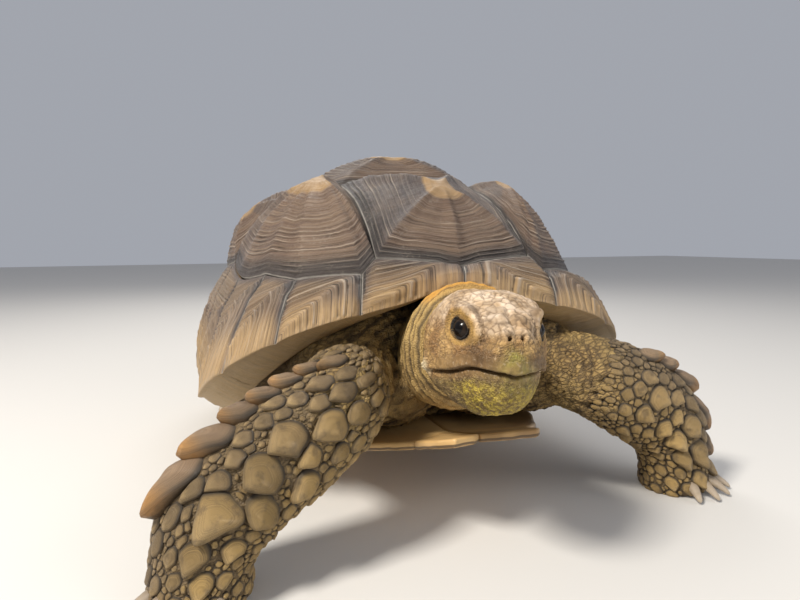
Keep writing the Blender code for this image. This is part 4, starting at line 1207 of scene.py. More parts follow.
def cell_distances(points, seeds):
    """For each point the nearest seed and the distance to the edge shared with the next one."""
    nearest, edge = np.empty(len(points), int), np.empty(len(points))
    for start in range(0, len(points), 4000):
        part = points[start:start + 4000]
        d2 = np.sum((part[:, None] - seeds[None]) ** 2, -1)
        two = np.argpartition(d2, 2, axis=1)[:, :3]
        order = np.argsort(np.take_along_axis(d2, two, 1), 1)
        two = np.take_along_axis(two, order, 1)
        rows = np.arange(len(part))
        apart = np.linalg.norm(seeds[two[:, 0]] - seeds[two[:, 1]], axis=-1)
        nearest[start:start + 4000] = two[:, 0]
        edge[start:start + 4000] = (d2[rows, two[:, 1]] - d2[rows, two[:, 0]]) / (2 * apart)
    return nearest, edge


def even_seeds(points, density, count, seed, rounds=3):
    """Seeds spread over a surface, closer where density is high, each moved to the middle of
    its own patch a few times."""
    rng = np.random.default_rng(seed)
    seeds = points[rng.choice(len(points), count, replace=False, p=density / density.sum())]
    for _ in range(rounds):
        nearest, _ = cell_distances(points, seeds)
        total = np.bincount(nearest, density, count)
        moved = np.stack([np.bincount(nearest, density * k, count) for k in points.T], -1)
        seeds = np.where(total[:, None] > 0, moved / np.maximum(total, 1e-12)[:, None], seeds)
    return seeds


def scale_size(p):
    """Width of the head's own scales: broad on the crown, small round the eyes, grains on the jaw."""
    crown = ramp(p[..., 2], 0.016, 0.01) * ramp(p[..., 1], -0.05, 0.01)
    jaw = smooth((mouth_height(p) - p[..., 2]) / 0.004)
    e, _ = lid_ring(p)
    lids = bell((e - 1.3) / 0.5) * ramp(p[..., 1], -0.035, 0.01)
    snout = ramp(-p[..., 1], 0.024, 0.008) * ramp(p[..., 2], 0.011, 0.006)
    return (0.0027 + 0.0008 * crown - 0.0007 * jaw) * (1 - 0.35 * lids) * (1 + 0.6 * snout)


def beak_mask(p):
    """1 on the smooth horn of the jaws."""
    over = p[..., 2] - mouth_height(p)
    upper = smooth((0.01 - over) / 0.004) * ramp(over, -0.0012, 0.001)
    lower = ramp(over, -0.0065, 0.003) * ramp(-over, -0.0005, 0.001)
    return (upper + lower) * smooth((0.002 - p[..., 1]) / 0.012)


def head_relief(p, seeds):
    """Scales on the head: flat cells with sunk edges. Returns their height, how deep the crease
    is, and one random tone for each cell."""
    bent = p + 0.0009 * np.stack([waves(p, 0.007, seed) for seed in (66, 67, 68)], -1)
    cell, edge = cell_distances(bent, seeds)
    size = scale_size(p)
    width = 0.12 * size + 0.00012
    crease = np.exp(-((edge / width) ** 1.4))
    tone = np.sin(cell * 78.233) * 0.5 + np.cos(cell * 12.9898) * 0.5
    ragged = np.clip(0.8 + 0.45 * waves(p, 0.014, 65), 0.2, 1.6)
    crown = ramp(p[..., 2], 0.016, 0.01)
    depth = (0.2 * size + 0.0001) * ragged * (1 - 0.85 * beak_mask(p)) * (1 - 0.25 * crown)
    e, side = lid_ring(p)
    depth = depth * (1 - np.where((e < 1.05) & (side > 0), 1, 0)) * (1 - 0.8 * lid_pad(p))
    return depth * (-crease + 0.25 * tone), crease * np.clip(depth / 0.0004, 0, 1), tone


def head_form(p):
    """How far the flesh stands off the bare form at each point."""
    q = mirrored(p)
    e, side = lid_ring(p)
    over = p[..., 2] - mouth_height(p)
    h = sum(height * blob(q, place, size) for height, place, size in FLESH)
    ahead = side * ramp(EYE_AT[1] - q[..., 1], -0.001, 0.004)
    h -= side * 0.0012 * bell((e - 1.95) / 0.18) * (1 - ahead)
    above = ramp(q[..., 2] - EYE_AT[2], -0.009, 0.004)
    h += ahead * above * (0.0006 * bell((e - 1.9) / 0.3) - 0.0018 * bell((e - 2.4) / 0.12))
    h -= 0.0022 * blob(q, (0.03, -0.006, -0.029), (0.012, 0.026, 0.011))
    nostril = np.linalg.norm((q - (0.0041, -0.048, 0.0128)) * (1, 0.4, 0.75), axis=-1)
    h -= 0.005 * smooth((0.0014 - nostril) / 0.0008) * (p[..., 1] < -0.03)
    h += 0.0007 * bell((nostril - 0.0024) / 0.0008) * (p[..., 1] < -0.03)
    mouth = smooth((0.0135 - p[..., 1]) / 0.003)
    lips = np.where(over > 0, 0.0014 * np.exp(-np.clip(over, 0, 1) / 0.0045),
                    -0.0022 * np.exp(np.clip(over, -1, 0) / 0.008))
    slit = 0.004 * bell((over + 0.0008) / 0.0011) * (0.35 + 0.65 * smooth((0.006 - p[..., 1]) / 0.016))
    h += mouth * (lips - slit)
    h += 0.001 * blob(q, (0.0, -0.048, -0.002), (0.003, 0.006, 0.009))
    ear = np.linalg.norm(q[..., 1:] - (0.025, -0.005), axis=-1)
    h -= 0.0009 * smooth((0.0062 - ear) / 0.0012)
    h += 0.0006 * waves(p, 0.03, 61) + 0.00022 * waves(p, 0.007, 62)
    h += beak_mask(p) * 0.00028 * waves(p * (2.2, 2.2, 0.35), 0.0045, 63)
    return h


def lidded(p):
    """The lids lie on the eyeball: near the opening the flesh is drawn to a set distance from
    the middle of the ball, with a thick rim, a furrow and an outer fold, finely pleated across,
    and inside the opening it goes back behind the ball."""
    e, side = lid_ring(p)
    centre = EYE_AT * np.stack([np.sign(p[:, 0]), np.ones(len(p)), np.ones(len(p))], -1)
    away = np.linalg.norm(p - centre, axis=1)
    rim = (0.0009 + 0.0008 * bell((e - 1.12) / 0.09) - 0.0006 * bell((e - 1.32) / 0.07)
           + 0.0009 * bell((e - 1.52) / 0.12))
    q = mirrored(p) - EYE_AT
    turn = np.arctan2(q[:, 1], q[:, 2])
    rim += 0.00034 * np.sin(turn * 23) * bell((e - 1.45) / 0.25) * smooth(q[:, 2] / 0.006)
    target = EYE_RADIUS + np.where(e > 1, rim, 0.0009) - 0.0045 * smooth((1.02 - e) / 0.08)
    pull = side * smooth((1.75 - e) / 0.55)
    return centre + (p - centre) * (1 + pull * (target / np.maximum(away, 1e-4) - 1))[:, None]


def head_skin():
    """A ball of triangles, drawn closer together towards the beak, pushed out to the bare form
    and then along its normals by the flesh and the scales."""
    body = bmesh.new()
    bmesh.ops.create_icosphere(body, subdivisions=7, radius=1)
    mesh = bpy.data.meshes.new("rough_head")
    body.to_mesh(mesh)
    body.free()
    ways = unit(points_of(mesh) + (0, -0.34, 0.03))
    bare = HEAD_MIDDLE + ways * head_reach(ways)[:, None]
    move_points(mesh, bare)
    normals = normals_of(mesh)
    formed = lidded(bare + normals * head_form(bare)[:, None])
    move_points(mesh, formed)
    normals = normals_of(mesh)
    bulk = bare[:, 1] < 0.04
    density = np.where(bulk, 1 / scale_size(bare) ** 2, 1e-3)
    seeds = even_seeds(bare[::4], density[::4] * local_area(mesh)[::4], 2100, 64)
    height, _, _ = head_relief(bare, seeds)
    formed += normals * height[:, None]
    move_points(mesh, on_animal(formed))
    return mesh, seeds


def local_area(mesh):
    """Area that belongs to each point of a mesh of triangles."""
    points, corners = points_of(mesh), triangles_of(mesh)
    a, b, c = (points[corners[:, k]] for k in range(3))
    area = np.linalg.norm(np.cross(b - a, c - a), axis=-1) / 6
    return sum(np.bincount(corners[:, k], area, len(points)) for k in range(3))


head_mesh, head_seeds = head_skin()


def joined_skin():
    """Body, neck and head grown together into one closed skin."""
    base = placed("rough_skin", body_mesh)
    helpers = [plain_object("rough_neck", [neck_skin()]), placed("rough_head", head_mesh)]
    for helper in helpers:
        union = base.modifiers.new(helper.name, "BOOLEAN")
        union.object, union.operation, union.solver = helper, "UNION", "MANIFOLD"
    mesh = settled(base)
    for helper in helpers:
        bpy.data.objects.remove(helper)
    return mesh


skin_mesh = joined_skin()


# ---- skin: colours ----
# Olive brown hide, with painted shade in its creases and folds, between the head's scales,
# along the mouth, round the lids, in the eye sockets and on the limbs. The crown is bleached
# pale, the cheeks and lids are ochre, the beak is stained green by leaves and the grains under
# the jaw are yellow-green.
HIDE_OLIVE, HIDE_BROWN, HIDE_GOLD = (0.31, 0.212, 0.078), (0.195, 0.124, 0.05), (0.5, 0.335, 0.125)
# the three colours on the next line are painted shade: on the limbs and in the creases
LIMB_PAINTED_SHADE, CREASE_SHADE_DARK, CREASE_SHADE_BROWN = (0.118, 0.083, 0.047), (0.05, 0.034, 0.02), (0.095, 0.058, 0.031)
FACE_TAN, FACE_RUSSET, FACE_BROWN = (0.44, 0.27, 0.105), (0.265, 0.145, 0.055), (0.105, 0.06, 0.028)
CROWN_PALE, CROWN_TAN, FACE_PALE = (0.66, 0.515, 0.38), (0.4, 0.275, 0.16), (0.6, 0.48, 0.33)
# the second colour on the next line is painted shade in the eye sockets
LID_OCHRE, SOCKET_SHADE_BLACK, RIM_ORANGE = (0.4, 0.235, 0.065), (0.012, 0.009, 0.007), (0.62, 0.3, 0.05)
BEAK_BROWN, LEAF_STAIN, FLAP_CREAM = (0.185, 0.115, 0.05), (0.205, 0.185, 0.034), (0.78, 0.64, 0.4)
JAW_YELLOW, JAW_OLIVE = (0.5, 0.37, 0.05), (0.2, 0.135, 0.035)
JAW_TAN, JAW_BROWN = (0.275, 0.19, 0.07), (0.13, 0.085, 0.035)


def skin_fields(points):
    """Where each colour of the hide lies, one number per point, by name."""
    p = on_head(points)
    q = mirrored(p)
    head = smooth((0.03 - p[:, 1]) / 0.01) * (np.linalg.norm(p, axis=-1) < 0.075)
    over = p[:, 2] - mouth_height(p)
    e, side = lid_ring(p)
    relief = np.zeros((2, len(points)))
    near = head > 0
    _, crease, tone = head_relief(p[near], head_seeds)
    relief[:, near] = crease, tone

    crown = ramp(p[:, 2], 0.012, 0.014)
    front = ramp(-p[:, 1], 0.026, 0.01) * ramp(p[:, 2], 0.009, 0.008)
    around_eye = side * smooth((2.0 - e) / 0.7)
    around_eye = around_eye * (1 - 0.8 * smooth((EYE_AT[2] - 0.0075 - p[:, 2]) / 0.004))
    wedge = (1.2 * blob(q, (0.018, -0.03, 0.006), (0.006, 0.005, 0.006))
             + 1.3 * blob(q, (0.0145, -0.0365, -0.002), (0.009, 0.011, 0.007)))
    flap = 1.4 * blob(q, (0.04, 0.015, -0.012), (0.01, 0.0045, 0.005))
    stain = (blob(p, (0.002, -0.048, -0.012), (0.012, 0.02, 0.008))
             + blob(p, (-0.001, -0.048, 0.001), (0.0065, 0.016, 0.008)))

    y = points[:, 1]
    collar = ramp(FOLDS_FROM - y, -0.004, 0.012) * (1 - head)
    collar *= smooth((0.068 - np.abs(points[:, 0] + 0.01)) / 0.01)
    between = np.abs(np.cos(np.pi * (fold_phase(points) - 0.17))) ** 0.8
    folds = collar * np.clip(1.15 - 1.6 * between, 0, 1)
    hide = (1 - head) * (1 - collar) * wrinkles(points)[1]
    # painted shadow under the upper beak, along the mouth line
    mouth = smooth((0.0105 - p[:, 1]) / 0.012) * bell((over + 0.0008) / 0.0014) * head
    before = ramp(EYE_AT[1] - p[:, 1], -0.001, 0.004) * ramp(p[:, 2] - EYE_AT[2], -0.009, 0.004)
    # painted shade in the furrow before the eye and along the lids' edge
    lid_furrow_shade = head * side * before * 0.9 * bell((e - 2.4) / 0.14)
    lid_edge_shade = head * side * 0.85 * bell((e - 1.06) / 0.09)
    return {
        "head": head,
        "crown": head * np.maximum(crown, 0.75 * front) * (1 - side * smooth((2.0 - e) / 0.5)),
        "ochre": head * np.maximum(around_eye, lid_pad(p)),
        "wedge": head * np.clip(wedge, 0, 1),
        "flap": head * np.clip(flap, 0, 1),
        "rim": collar * bell((y + 0.256) / 0.014) * ramp(points[:, 2], 0.122, 0.008),
        "jaw": head * ramp(-over, 0.002, 0.006),
        "horn": head * np.clip(beak_mask(p), 0, 1),
        "stain": head * np.clip(stain, 0, 1),
        "chin": head * ramp(-over, 0.005, 0.007) * ramp(-p[:, 1], 0.004, 0.02),
        # where painted shade goes: creases, gaps between scales, folds, the mouth line and the lids
        "crease": np.clip(relief[0] + folds + hide + mouth + lid_furrow_shade + lid_edge_shade, 0, 1),
        "cell": relief[1],
        # where painted shade darkens the hide on the limbs
        "limb": ramp(np.abs(points[:, 0]), 0.115, 0.025),
        "slack": ramp(y, -0.238, 0.02) * (1 - ramp(np.abs(points[:, 0]), 0.1, 0.02)),
        "collar": collar,
        # where painted shade darkens the eye openings behind the eyeballs
        "socket": head * side * smooth((1.02 - e) / 0.05),
    }


def hide_material(fields):
    """One finish for the whole hide, chosen by the fields: pleats and loose folds with painted shade
    in their creases, then the colours of the face over them and painted shade on the limbs, and
    last painted shade in the creases and the eye sockets."""
    material, shader, net = finish_of("hide", 0.62, Specular_IOR_Level=0.3)
    on = {name: net.field(name) for name in fields}
    patches, blotches, grain = net.use(GRAIN, Size=80)
    small_patches, small_blotches, _ = net.use(GRAIN, Size=260)
    net.color = net.mix(net.span(patches, 0.35, 0.65), HIDE_BROWN, HIDE_OLIVE)
    net.lay(net.span(blotches, 0.5, 0.72, 0, 0.35), HIDE_GOLD)

    loose = net.math("SUBTRACT", 1, net.math("MAXIMUM", on["head"], on["collar"]))
    pleats = net.cells(290, net.place(-18, (2.1, 1.2, 0.9)))
    pleat_height = net.times(net.span(pleats, 0, 0.22), loose)
    net.lay(net.times(net.span(pleats, 0.1, 0.3, 0, 0.55), loose), HIDE_GOLD)
    # painted shade in the creases between the pleats
    net.lay(net.times(net.span(pleats, 0.09, 0, 0, 0.75), loose), CREASE_SHADE_DARK)

    wave = net.node("TexWave", wave_type="BANDS", bands_direction="Z")
    net.feed(wave, Vector=net.place(-22), Scale=38, Distortion=7, Detail=2, Detail_Scale=0.55)
    folds, slack = wave.outputs["Fac"], net.times(loose, on["slack"])
    fold_height = net.times(net.span(folds, 0, 0.7), slack)
    # painted shade in the troughs of the loose folds
    net.lay(net.times(net.span(folds, 0.32, 0.04, 0, 0.8), slack), CREASE_SHADE_DARK)
    net.lay(net.times(net.span(folds, 0.6, 1, 0, 0.4), slack), HIDE_GOLD)
    gold = net.times(on["collar"], net.span(blotches, 0.25, 0.65, 0.25, 0.75))
    net.lay(gold, HIDE_GOLD)

    face = net.mix(net.span(small_patches, 0.4, 0.62), FACE_TAN, FACE_RUSSET)
    net.lay(on["head"], face)
    chin = net.mix(net.span(small_blotches, 0.4, 0.62), JAW_YELLOW, JAW_OLIVE)
    jaw = net.mix(net.span(small_blotches, 0.36, 0.62), JAW_TAN, JAW_BROWN)
    yellow = net.times(on["chin"], net.span(patches, 0.3, 0.6, 1, 0.55))
    net.lay(on["jaw"], net.mix(yellow, jaw, chin))
    net.lay(net.times(on["ochre"], 0.85), LID_OCHRE)
    crown = net.mix(net.span(small_patches, 0.35, 0.62), CROWN_PALE, CROWN_TAN)
    bleached = net.times(on["crown"], net.span(blotches, 0.25, 0.6, 0.6, 1))
    net.lay(bleached, crown)
    net.lay(net.times(on["horn"], 0.7), BEAK_BROWN)
    net.lay(net.times(on["wedge"], 0.92), FACE_BROWN)
    stained = net.times(on["stain"], net.span(blotches, 0.35, 0.6, 0.35, 0.9))
    net.lay(stained, LEAF_STAIN)
    net.lay(on["flap"], FLAP_CREAM)
    # painted shade: the hide on the limbs darkened
    net.lay(net.times(on["limb"], 0.8), LIMB_PAINTED_SHADE)
    net.shade(net.span(on["cell"], -1, 1, 0.8, 1.18))
    pale = net.times(net.span(grain, 0.55, 0.75, 0, 0.32), on["head"])
    net.lay(pale, FACE_PALE)
    net.lay(net.span(grain, 0.45, 0.28, 0, 0.35), HIDE_BROWN)

    # painted shade in the creases: between the head's scales, in the neck's folds and the body's wrinkles,
    # along the mouth and round the lids
    sunk = net.times(on["crease"], net.span(on["head"], 0, 1, 0.9, 0.72))
    net.lay(sunk, net.mix(on["head"], CREASE_SHADE_DARK, CREASE_SHADE_BROWN))
    rim = net.times(on["rim"], net.span(on["crease"], 0.2, 0.8, 0.85, 0.25))
    net.lay(rim, RIM_ORANGE)
    # painted shade: near black inside the eye openings, behind the eyeballs
    net.lay(on["socket"], SOCKET_SHADE_BLACK)
    net.feed(shader, Roughness=net.span(on["horn"], 0, 1, 0.62, 0.42))

    pebbled = net.math("SUBTRACT", 1, net.math("MAXIMUM", on["horn"], on["crown"]))
    pebbles = net.times(net.span(net.cells(520, net.place()), 0, 0.3), pebbled)
    relief = net.math("MULTIPLY_ADD", fold_height, 2.2, pebbles)
    relief = net.math("MULTIPLY_ADD", pleat_height, 1.3, relief)
    relief = net.math("ADD", relief, net.times(grain, 0.7))
    net.dress(shader, relief, 0.6, 0.001)
    return material


skin_points = points_of(skin_mesh)
hide_fields = skin_fields(skin_points)
for field, values in hide_fields.items():
    layer = skin_mesh.attributes.new(field, "FLOAT", "POINT")
    layer.data.foreach_set("value", values.astype(np.float32))
move_points(skin_mesh, skin_points + SHELL_AT)
skin_mesh.materials.clear()
skin_mesh.materials.append(hide_material(hide_fields))
skin_mesh.shade_smooth()
skin = placed("skin", skin_mesh)
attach(skin, "root")
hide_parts("head", "lower_jaw", "neck", "trunk", "tail", "foreleg_left", "foreleg_right",
            "hindleg_left", "hindleg_right")

# ---- eyes ----
# Glossy balls set deep between the lids: a near-black pupil in a very dark brown iris, with a
# slightly raised clear front.
PUPIL, IRIS_OUT = 0.42, 0.86       # edges of the pupil and the iris, radians from the eye's axis
PUPIL_BLACK, EYE_BLACK = (0.004, 0.003, 0.003), (0.008, 0.006, 0.005)
IRIS_BROWN, IRIS_DARK = (0.024, 0.014, 0.008), (0.01, 0.007, 0.005)


def eye_material():
    """Pupil, mottled iris and dark surround by the angle from the eye's axis, under a wet coat."""
    material, shader, net = finish_of("eye", 0.22, Specular_IOR_Level=0.1, Coat_Weight=0.35,
                                      Coat_Roughness=0.04, Coat_IOR=1.33)
    away = net.field("away")
    _, blotches, _ = net.use(GRAIN, Size=300)
    iris = net.mix(net.span(blotches, 0.35, 0.65), IRIS_BROWN, IRIS_DARK)
    net.color = net.mix(net.span(away, PUPIL - 0.05, PUPIL + 0.05), PUPIL_BLACK, iris)
    net.lay(net.span(away, IRIS_OUT - 0.1, IRIS_OUT + 0.1), EYE_BLACK)
    net.feed(shader, Base_Color=net.color)
    return material


def eye(name, side, material, rings=64, points=96):
    """Rings round the eye's axis; the front bulges out by a raised cosine."""
    away, turn = np.meshgrid(np.linspace(0.01, math.pi - 0.01, rings),
                             np.arange(points) / points * 2 * np.pi, indexing="ij")
    axis = EYE_WAY * (side, 1, 1)
    up = unit(np.array([0, 0, 1.0]) - axis * axis[2])
    beside = np.cross(axis, up)
    radius = EYE_RADIUS - 0.0002 + 0.0007 * (0.5 + 0.5 * np.cos(np.clip(away / 0.75, 0, 1) * np.pi))
    rows = radius[..., None] * (np.cos(away)[..., None] * axis + np.sin(away)[..., None]
                                * (np.cos(turn)[..., None] * up + np.sin(turn)[..., None] * beside))
    body = wrapped(on_animal(rows + EYE_AT * (side, 1, 1)))
    return solid(name, [facing_out(*body)], material, [name],
                 {"away": np.append(away.ravel(), [0, math.pi])})


EYE_FINISH = eye_material()
for side, word in ((1, "left"), (-1, "right")):
    eye(f"eye_{word}", side, EYE_FINISH)

# ---- scales: legs and tail ----
# Hard horny scales over the legs and the tail, each a pillow with its tip towards the foot and
# lying over the root of the next. The big ones sit on the front of the forearms with pebbles in
# the creases between them, and pointed spurs stand along the forearms' outer edge.
SCALE_GREY, SCALE_TAN, SCALE_BLOTCH = (0.172, 0.124, 0.076), (0.198, 0.14, 0.08), (0.1, 0.07, 0.042)
SCALE_GOLD, SCALE_TIP, SCALE_ROOT_DARK = (0.385, 0.25, 0.088), (0.5, 0.345, 0.16), (0.06, 0.047, 0.034)
RING_PALE, RING_DARK = (0.5, 0.39, 0.23), (0.1, 0.066, 0.036)
SPUR_TAN, SPUR_AMBER = (0.33, 0.22, 0.14), (0.56, 0.27, 0.07)
SCALES_FROM = {"right": 0.022, "left": 0.091}    # how far down each foreleg its scales begin
FRONT_OF = {"right": 0.0, "left": math.pi}       # turn of each foreleg's front face
# the big scales, (mm from the body, degrees from the front towards the outer edge, radius in mm)
RIGHT_BIG = ((96, 84, 6), (104, 70, 8.5), (106, 42, 6), (114, 84, 9), (119, 49, 8), (114, 25, 8),
             (113, -3, 7), (128, 85, 10.5), (144, 59, 7), (126, 28, 6.5), (128, 3, 10.5), (119, -33, 6.5),
             (144, 83, 11), (156, 46, 6), (145, 40, 5), (151, 16, 12.5), (147, -8, 8), (131, -26, 7),
             (143, -41, 6), (161, 80, 12), (181, 72, 14), (170, 44, 6.5), (180, 31, 7), (174, 5, 13),
             (158, -31, 11), (204, 65, 13), (195, 25, 7.5), (205, 40, 7), (207, 5, 13.5),
             (190, -23, 13.5), (230, 50, 6), (233, 25, 5), (230, 3, 8.5), (222, -28, 8.5), (244, -14, 8))
LEFT_BIG = ((107, 37, 5), (118, 20, 7), (133, 30, 6), (106, -8, 5), (113, 3, 6), (133, 3, 10),
            (152, 16, 8), (110, -28, 6), (127, -21, 9), (161, -4, 8), (156, -24, 10), (181, 2, 11),
            (131, -45, 6), (145, -42, 7), (120, 62, 10), (140, 70, 11), (162, 72, 12), (186, 66, 13),
            (208, 58, 12), (180, -26, 12), (205, -4, 12), (202, -34, 11), (224, 20, 9), (226, -22, 9))
# how scales are built by size: least and most radius, points round, and the profile from foot
# to top as share of the reach, height over the skin and share of the thickness
BIG_FROM, PEBBLES_TO = 0.0078, 0.003
BUILDS = ((BIG_FROM, 1, 40, ((1, -0.0014, 0), (1, 0, 0.06), (0.975, 0, 0.2), (0.92, 0, 0.36),
                             (0.83, 0, 0.53), (0.7, 0, 0.7), (0.54, 0, 0.845), (0.36, 0, 0.94),
                             (0.17, 0, 0.985))),
          (PEBBLES_TO, BIG_FROM, 22, ((1, -0.0014, 0), (1, 0, 0.15), (0.94, 0, 0.4), (0.78, 0, 0.68),
                                      (0.48, 0, 0.92))),
          (0, PEBBLES_TO, 9, ((1, -0.001, 0), (0.93, 0, 0.55), (0.55, 0, 0.95))))


def scattered(limb, size_of, big, seed, first, tries=(5200, 9000)):
    """Places for scales as along, turn and radius: the big ones, then darts thrown at the limb,
    full sized and then pebbles. A dart stays if it is clear of the others by most of the two
    radii together."""
    rng = np.random.default_rng(seed)
    found, count = np.zeros((3000, 3)), len(big)
    found[:count] = big
    for number, share, closeness in zip(tries, (1.0, 0.0), (0.93, 0.84)):
        along = rng.uniform(first, limb.length - 0.004, number)
        turn = rng.uniform(-np.pi, np.pi, number)
        radius = size_of(along, turn) * rng.uniform(0.86, 1.16, number)
        radius = radius if share else rng.uniform(0.28, 0.62, number) * radius
        radius = np.clip(radius, 0.0014, None)
        spread = limb.around(along) / (2 * np.pi)
        for a, t, r, w in zip(along, turn, radius, spread):
            near = found[:count]
            beside = ((near[:, 1] - t + np.pi) % (2 * np.pi) - np.pi) * w
            if np.all(np.hypot(beside, near[:, 0] - a) > closeness * (near[:, 2] + r)):
                found[count] = a, t, r
                count += 1
    return found[:count].T


def scale_edges(limb, along, turn, radius, ways):
    """How far each scale reaches in each direction: to the line where it meets each neighbour,
    which is nearer to the smaller of the two, and on a big scale to the two flanks that meet in
    a point towards the foot. The corners are rounded by a soft minimum."""
    spread = limb.around(along) / (2 * np.pi)
    gap = (turn[None] - turn[:, None] + np.pi) % (2 * np.pi) - np.pi
    beside = gap * (spread[None] + spread[:, None]) / 2
    ahead = along[None] - along[:, None]
    apart = beside**2 + ahead**2
    np.fill_diagonal(apart, 1e3)
    near = np.argpartition(apart - radius[None] ** 2, 12, axis=1)[:, :12]
    rows = np.arange(len(along))[:, None]
    b, a, square = beside[rows, near], ahead[rows, near], apart[rows, near]
    big = ramp(radius, 0.005, 0.003)
    to_line = (square + radius[:, None] ** 2 - radius[near] ** 2) / 2
    to_line = to_line * (1 + 0.34 * big[:, None] * np.clip(a / np.sqrt(square), 0, 1) ** 2)
    towards = b[..., None] * ways[0] + a[..., None] * ways[1]
    reach = np.maximum(to_line, 1e-8)[..., None] / np.maximum(towards, 1e-6)
    cap = (radius * (1.5 - 0.38 * big))[:, None] * (1 + 0.35 * big[:, None] * np.clip(ways[1], 0, 1) ** 4)
    cap = np.broadcast_to(cap[:, None], reach[:, :1].shape)
    lean = np.radians(40 + 7 * np.sin(7700 * along + 9 * turn))[:, None]
    flank = (radius * (1.1 - 0.27 * big))[:, None]
    flanks = [flank / np.maximum(sign * np.cos(lean) * ways[0] + np.sin(lean) * ways[1], 1e-6)
              for sign in (1, -1)]
    reach = np.concatenate([reach, cap, np.stack(flanks, 1)], 1)
    return np.clip(np.sum(reach**-17.0, 1) ** (-1 / 17), 0.35 * radius[:, None], None)


def scales(name, limb, coat, places, spur, gold, material):
    """The scales of one limb as closed pillows. Height over the skin is thickness times a
    rounded profile, plus a lift that grows from root to tip; spur from 0 to 1 stretches and
    lifts the tip."""
    along, turn, radius = places
    pointed, golden = spur(along, turn, radius), gold(along, turn)
    tone = np.random.default_rng(len(name)).uniform(-1, 1, len(along))
    grids, uvs = [], []
    fields = {key: [] for key in ("share", "growth", "tone", "gold", "spur", "tip")}
    for least, most, count, profile in BUILDS:
        angle = np.arange(count) / count * 2 * np.pi
        ways = np.stack([np.cos(angle), np.sin(angle)])
        chosen = (radius >= least) & (radius < most)
        if not chosen.any():
            continue
        reach = scale_edges(limb, along, turn, radius, ways)[chosen]
        a, t, r, point = (k[chosen, None, None] for k in (along, turn, radius, pointed))
        tip = np.clip(ways[1], 0, 1)
        reach = reach * (0.97 + 0.22 * point[..., 0] * tip**5)
        share, sunk, thick = (np.array(k)[None, :, None] for k in zip(*profile))
        slide = 0.26 * r * (1 - share) * ramp(r, 0.0035, 0.003)
        u, v = reach[:, None] * share * ways[0], reach[:, None] * share * ways[1] + slide
        depth = 0.00055 + 0.3 * r + 0.07 * r * ramp(r, 0.006, 0.004) + 0.16 * point * r
        lift = (0.06 + 0.15 * ramp(r, 0.005, 0.004) + 0.24 * point) * (v + 0.35 * r)
        uneven = 0.1 * depth * np.sin(3 * angle + 40 * r / 0.01) * share
        uneven = uneven + 0.07 * r * bell(u / (0.24 * r)) * smooth(v / r * 1.2)
        uneven = uneven + 0.00013 * np.sin(2 * np.pi * share * r / 0.0019) * (r > BIG_FROM)
        h = -coat + sunk + depth * thick + np.where(thick > 0, lift + uneven, 0)
        spread = limb.around(a) / (2 * np.pi)
        place = np.minimum(a + v, limb.length - 0.0006), t + u / spread
        rows = limb.at(*place, h)
        middle = limb.at(a[:, 0] + 1.15 * slide[:, -1], t[:, 0],
                         -coat + (depth + lift[:, -1:].mean(2, keepdims=True))[:, 0])
        under = limb.at(a[:, 0], t[:, 0], -coat - 0.0014 + 0 * a[:, 0])
        points = np.concatenate([rows.reshape(len(rows), -1, 3), under, middle], 1)
        points[..., 2] = np.maximum(points[..., 2], -CLEARANCE + 0.0003)
        _, faces = wrapped(rows[0])
        starts = np.arange(len(rows))[:, None, None] * points.shape[1]
        faces = tuple((f + starts).reshape(-1, f.shape[1]) for f in faces)
        grids.append(facing_out(points.reshape(-1, 3), faces))
        flat = np.stack([u, v], -1).reshape(len(rows), -1, 2)
        flat = np.concatenate([flat, np.zeros((len(rows), 2, 2))], 1)
        root = np.stack([(t[:, :, 0] / (2 * np.pi)) % 1, a[:, :, 0] / limb.length], -1) * 0.98 + 0.01
        uvs.append((root + flat / (2.4 * r) * 0.003).reshape(-1, 2))
        fill = np.ones((len(rows), points.shape[1]))
        shares = fill * np.append(np.repeat(share.ravel(), count), [0.5, 0.0])
        fields["share"].append(shares.ravel())
        fields["growth"].append((shares * r[..., 0] / 0.0011).ravel())
        fields["tip"].append((flat[..., 1] / r[..., 0]).ravel())
        for key, values in (("tone", tone), ("gold", golden), ("spur", pointed)):
            fields[key].append((fill * values[chosen, None]).ravel())
    fields = {key: np.concatenate(values) for key, values in fields.items()}
    return solid(name, grids, material, (), fields, np.concatenate(uvs))


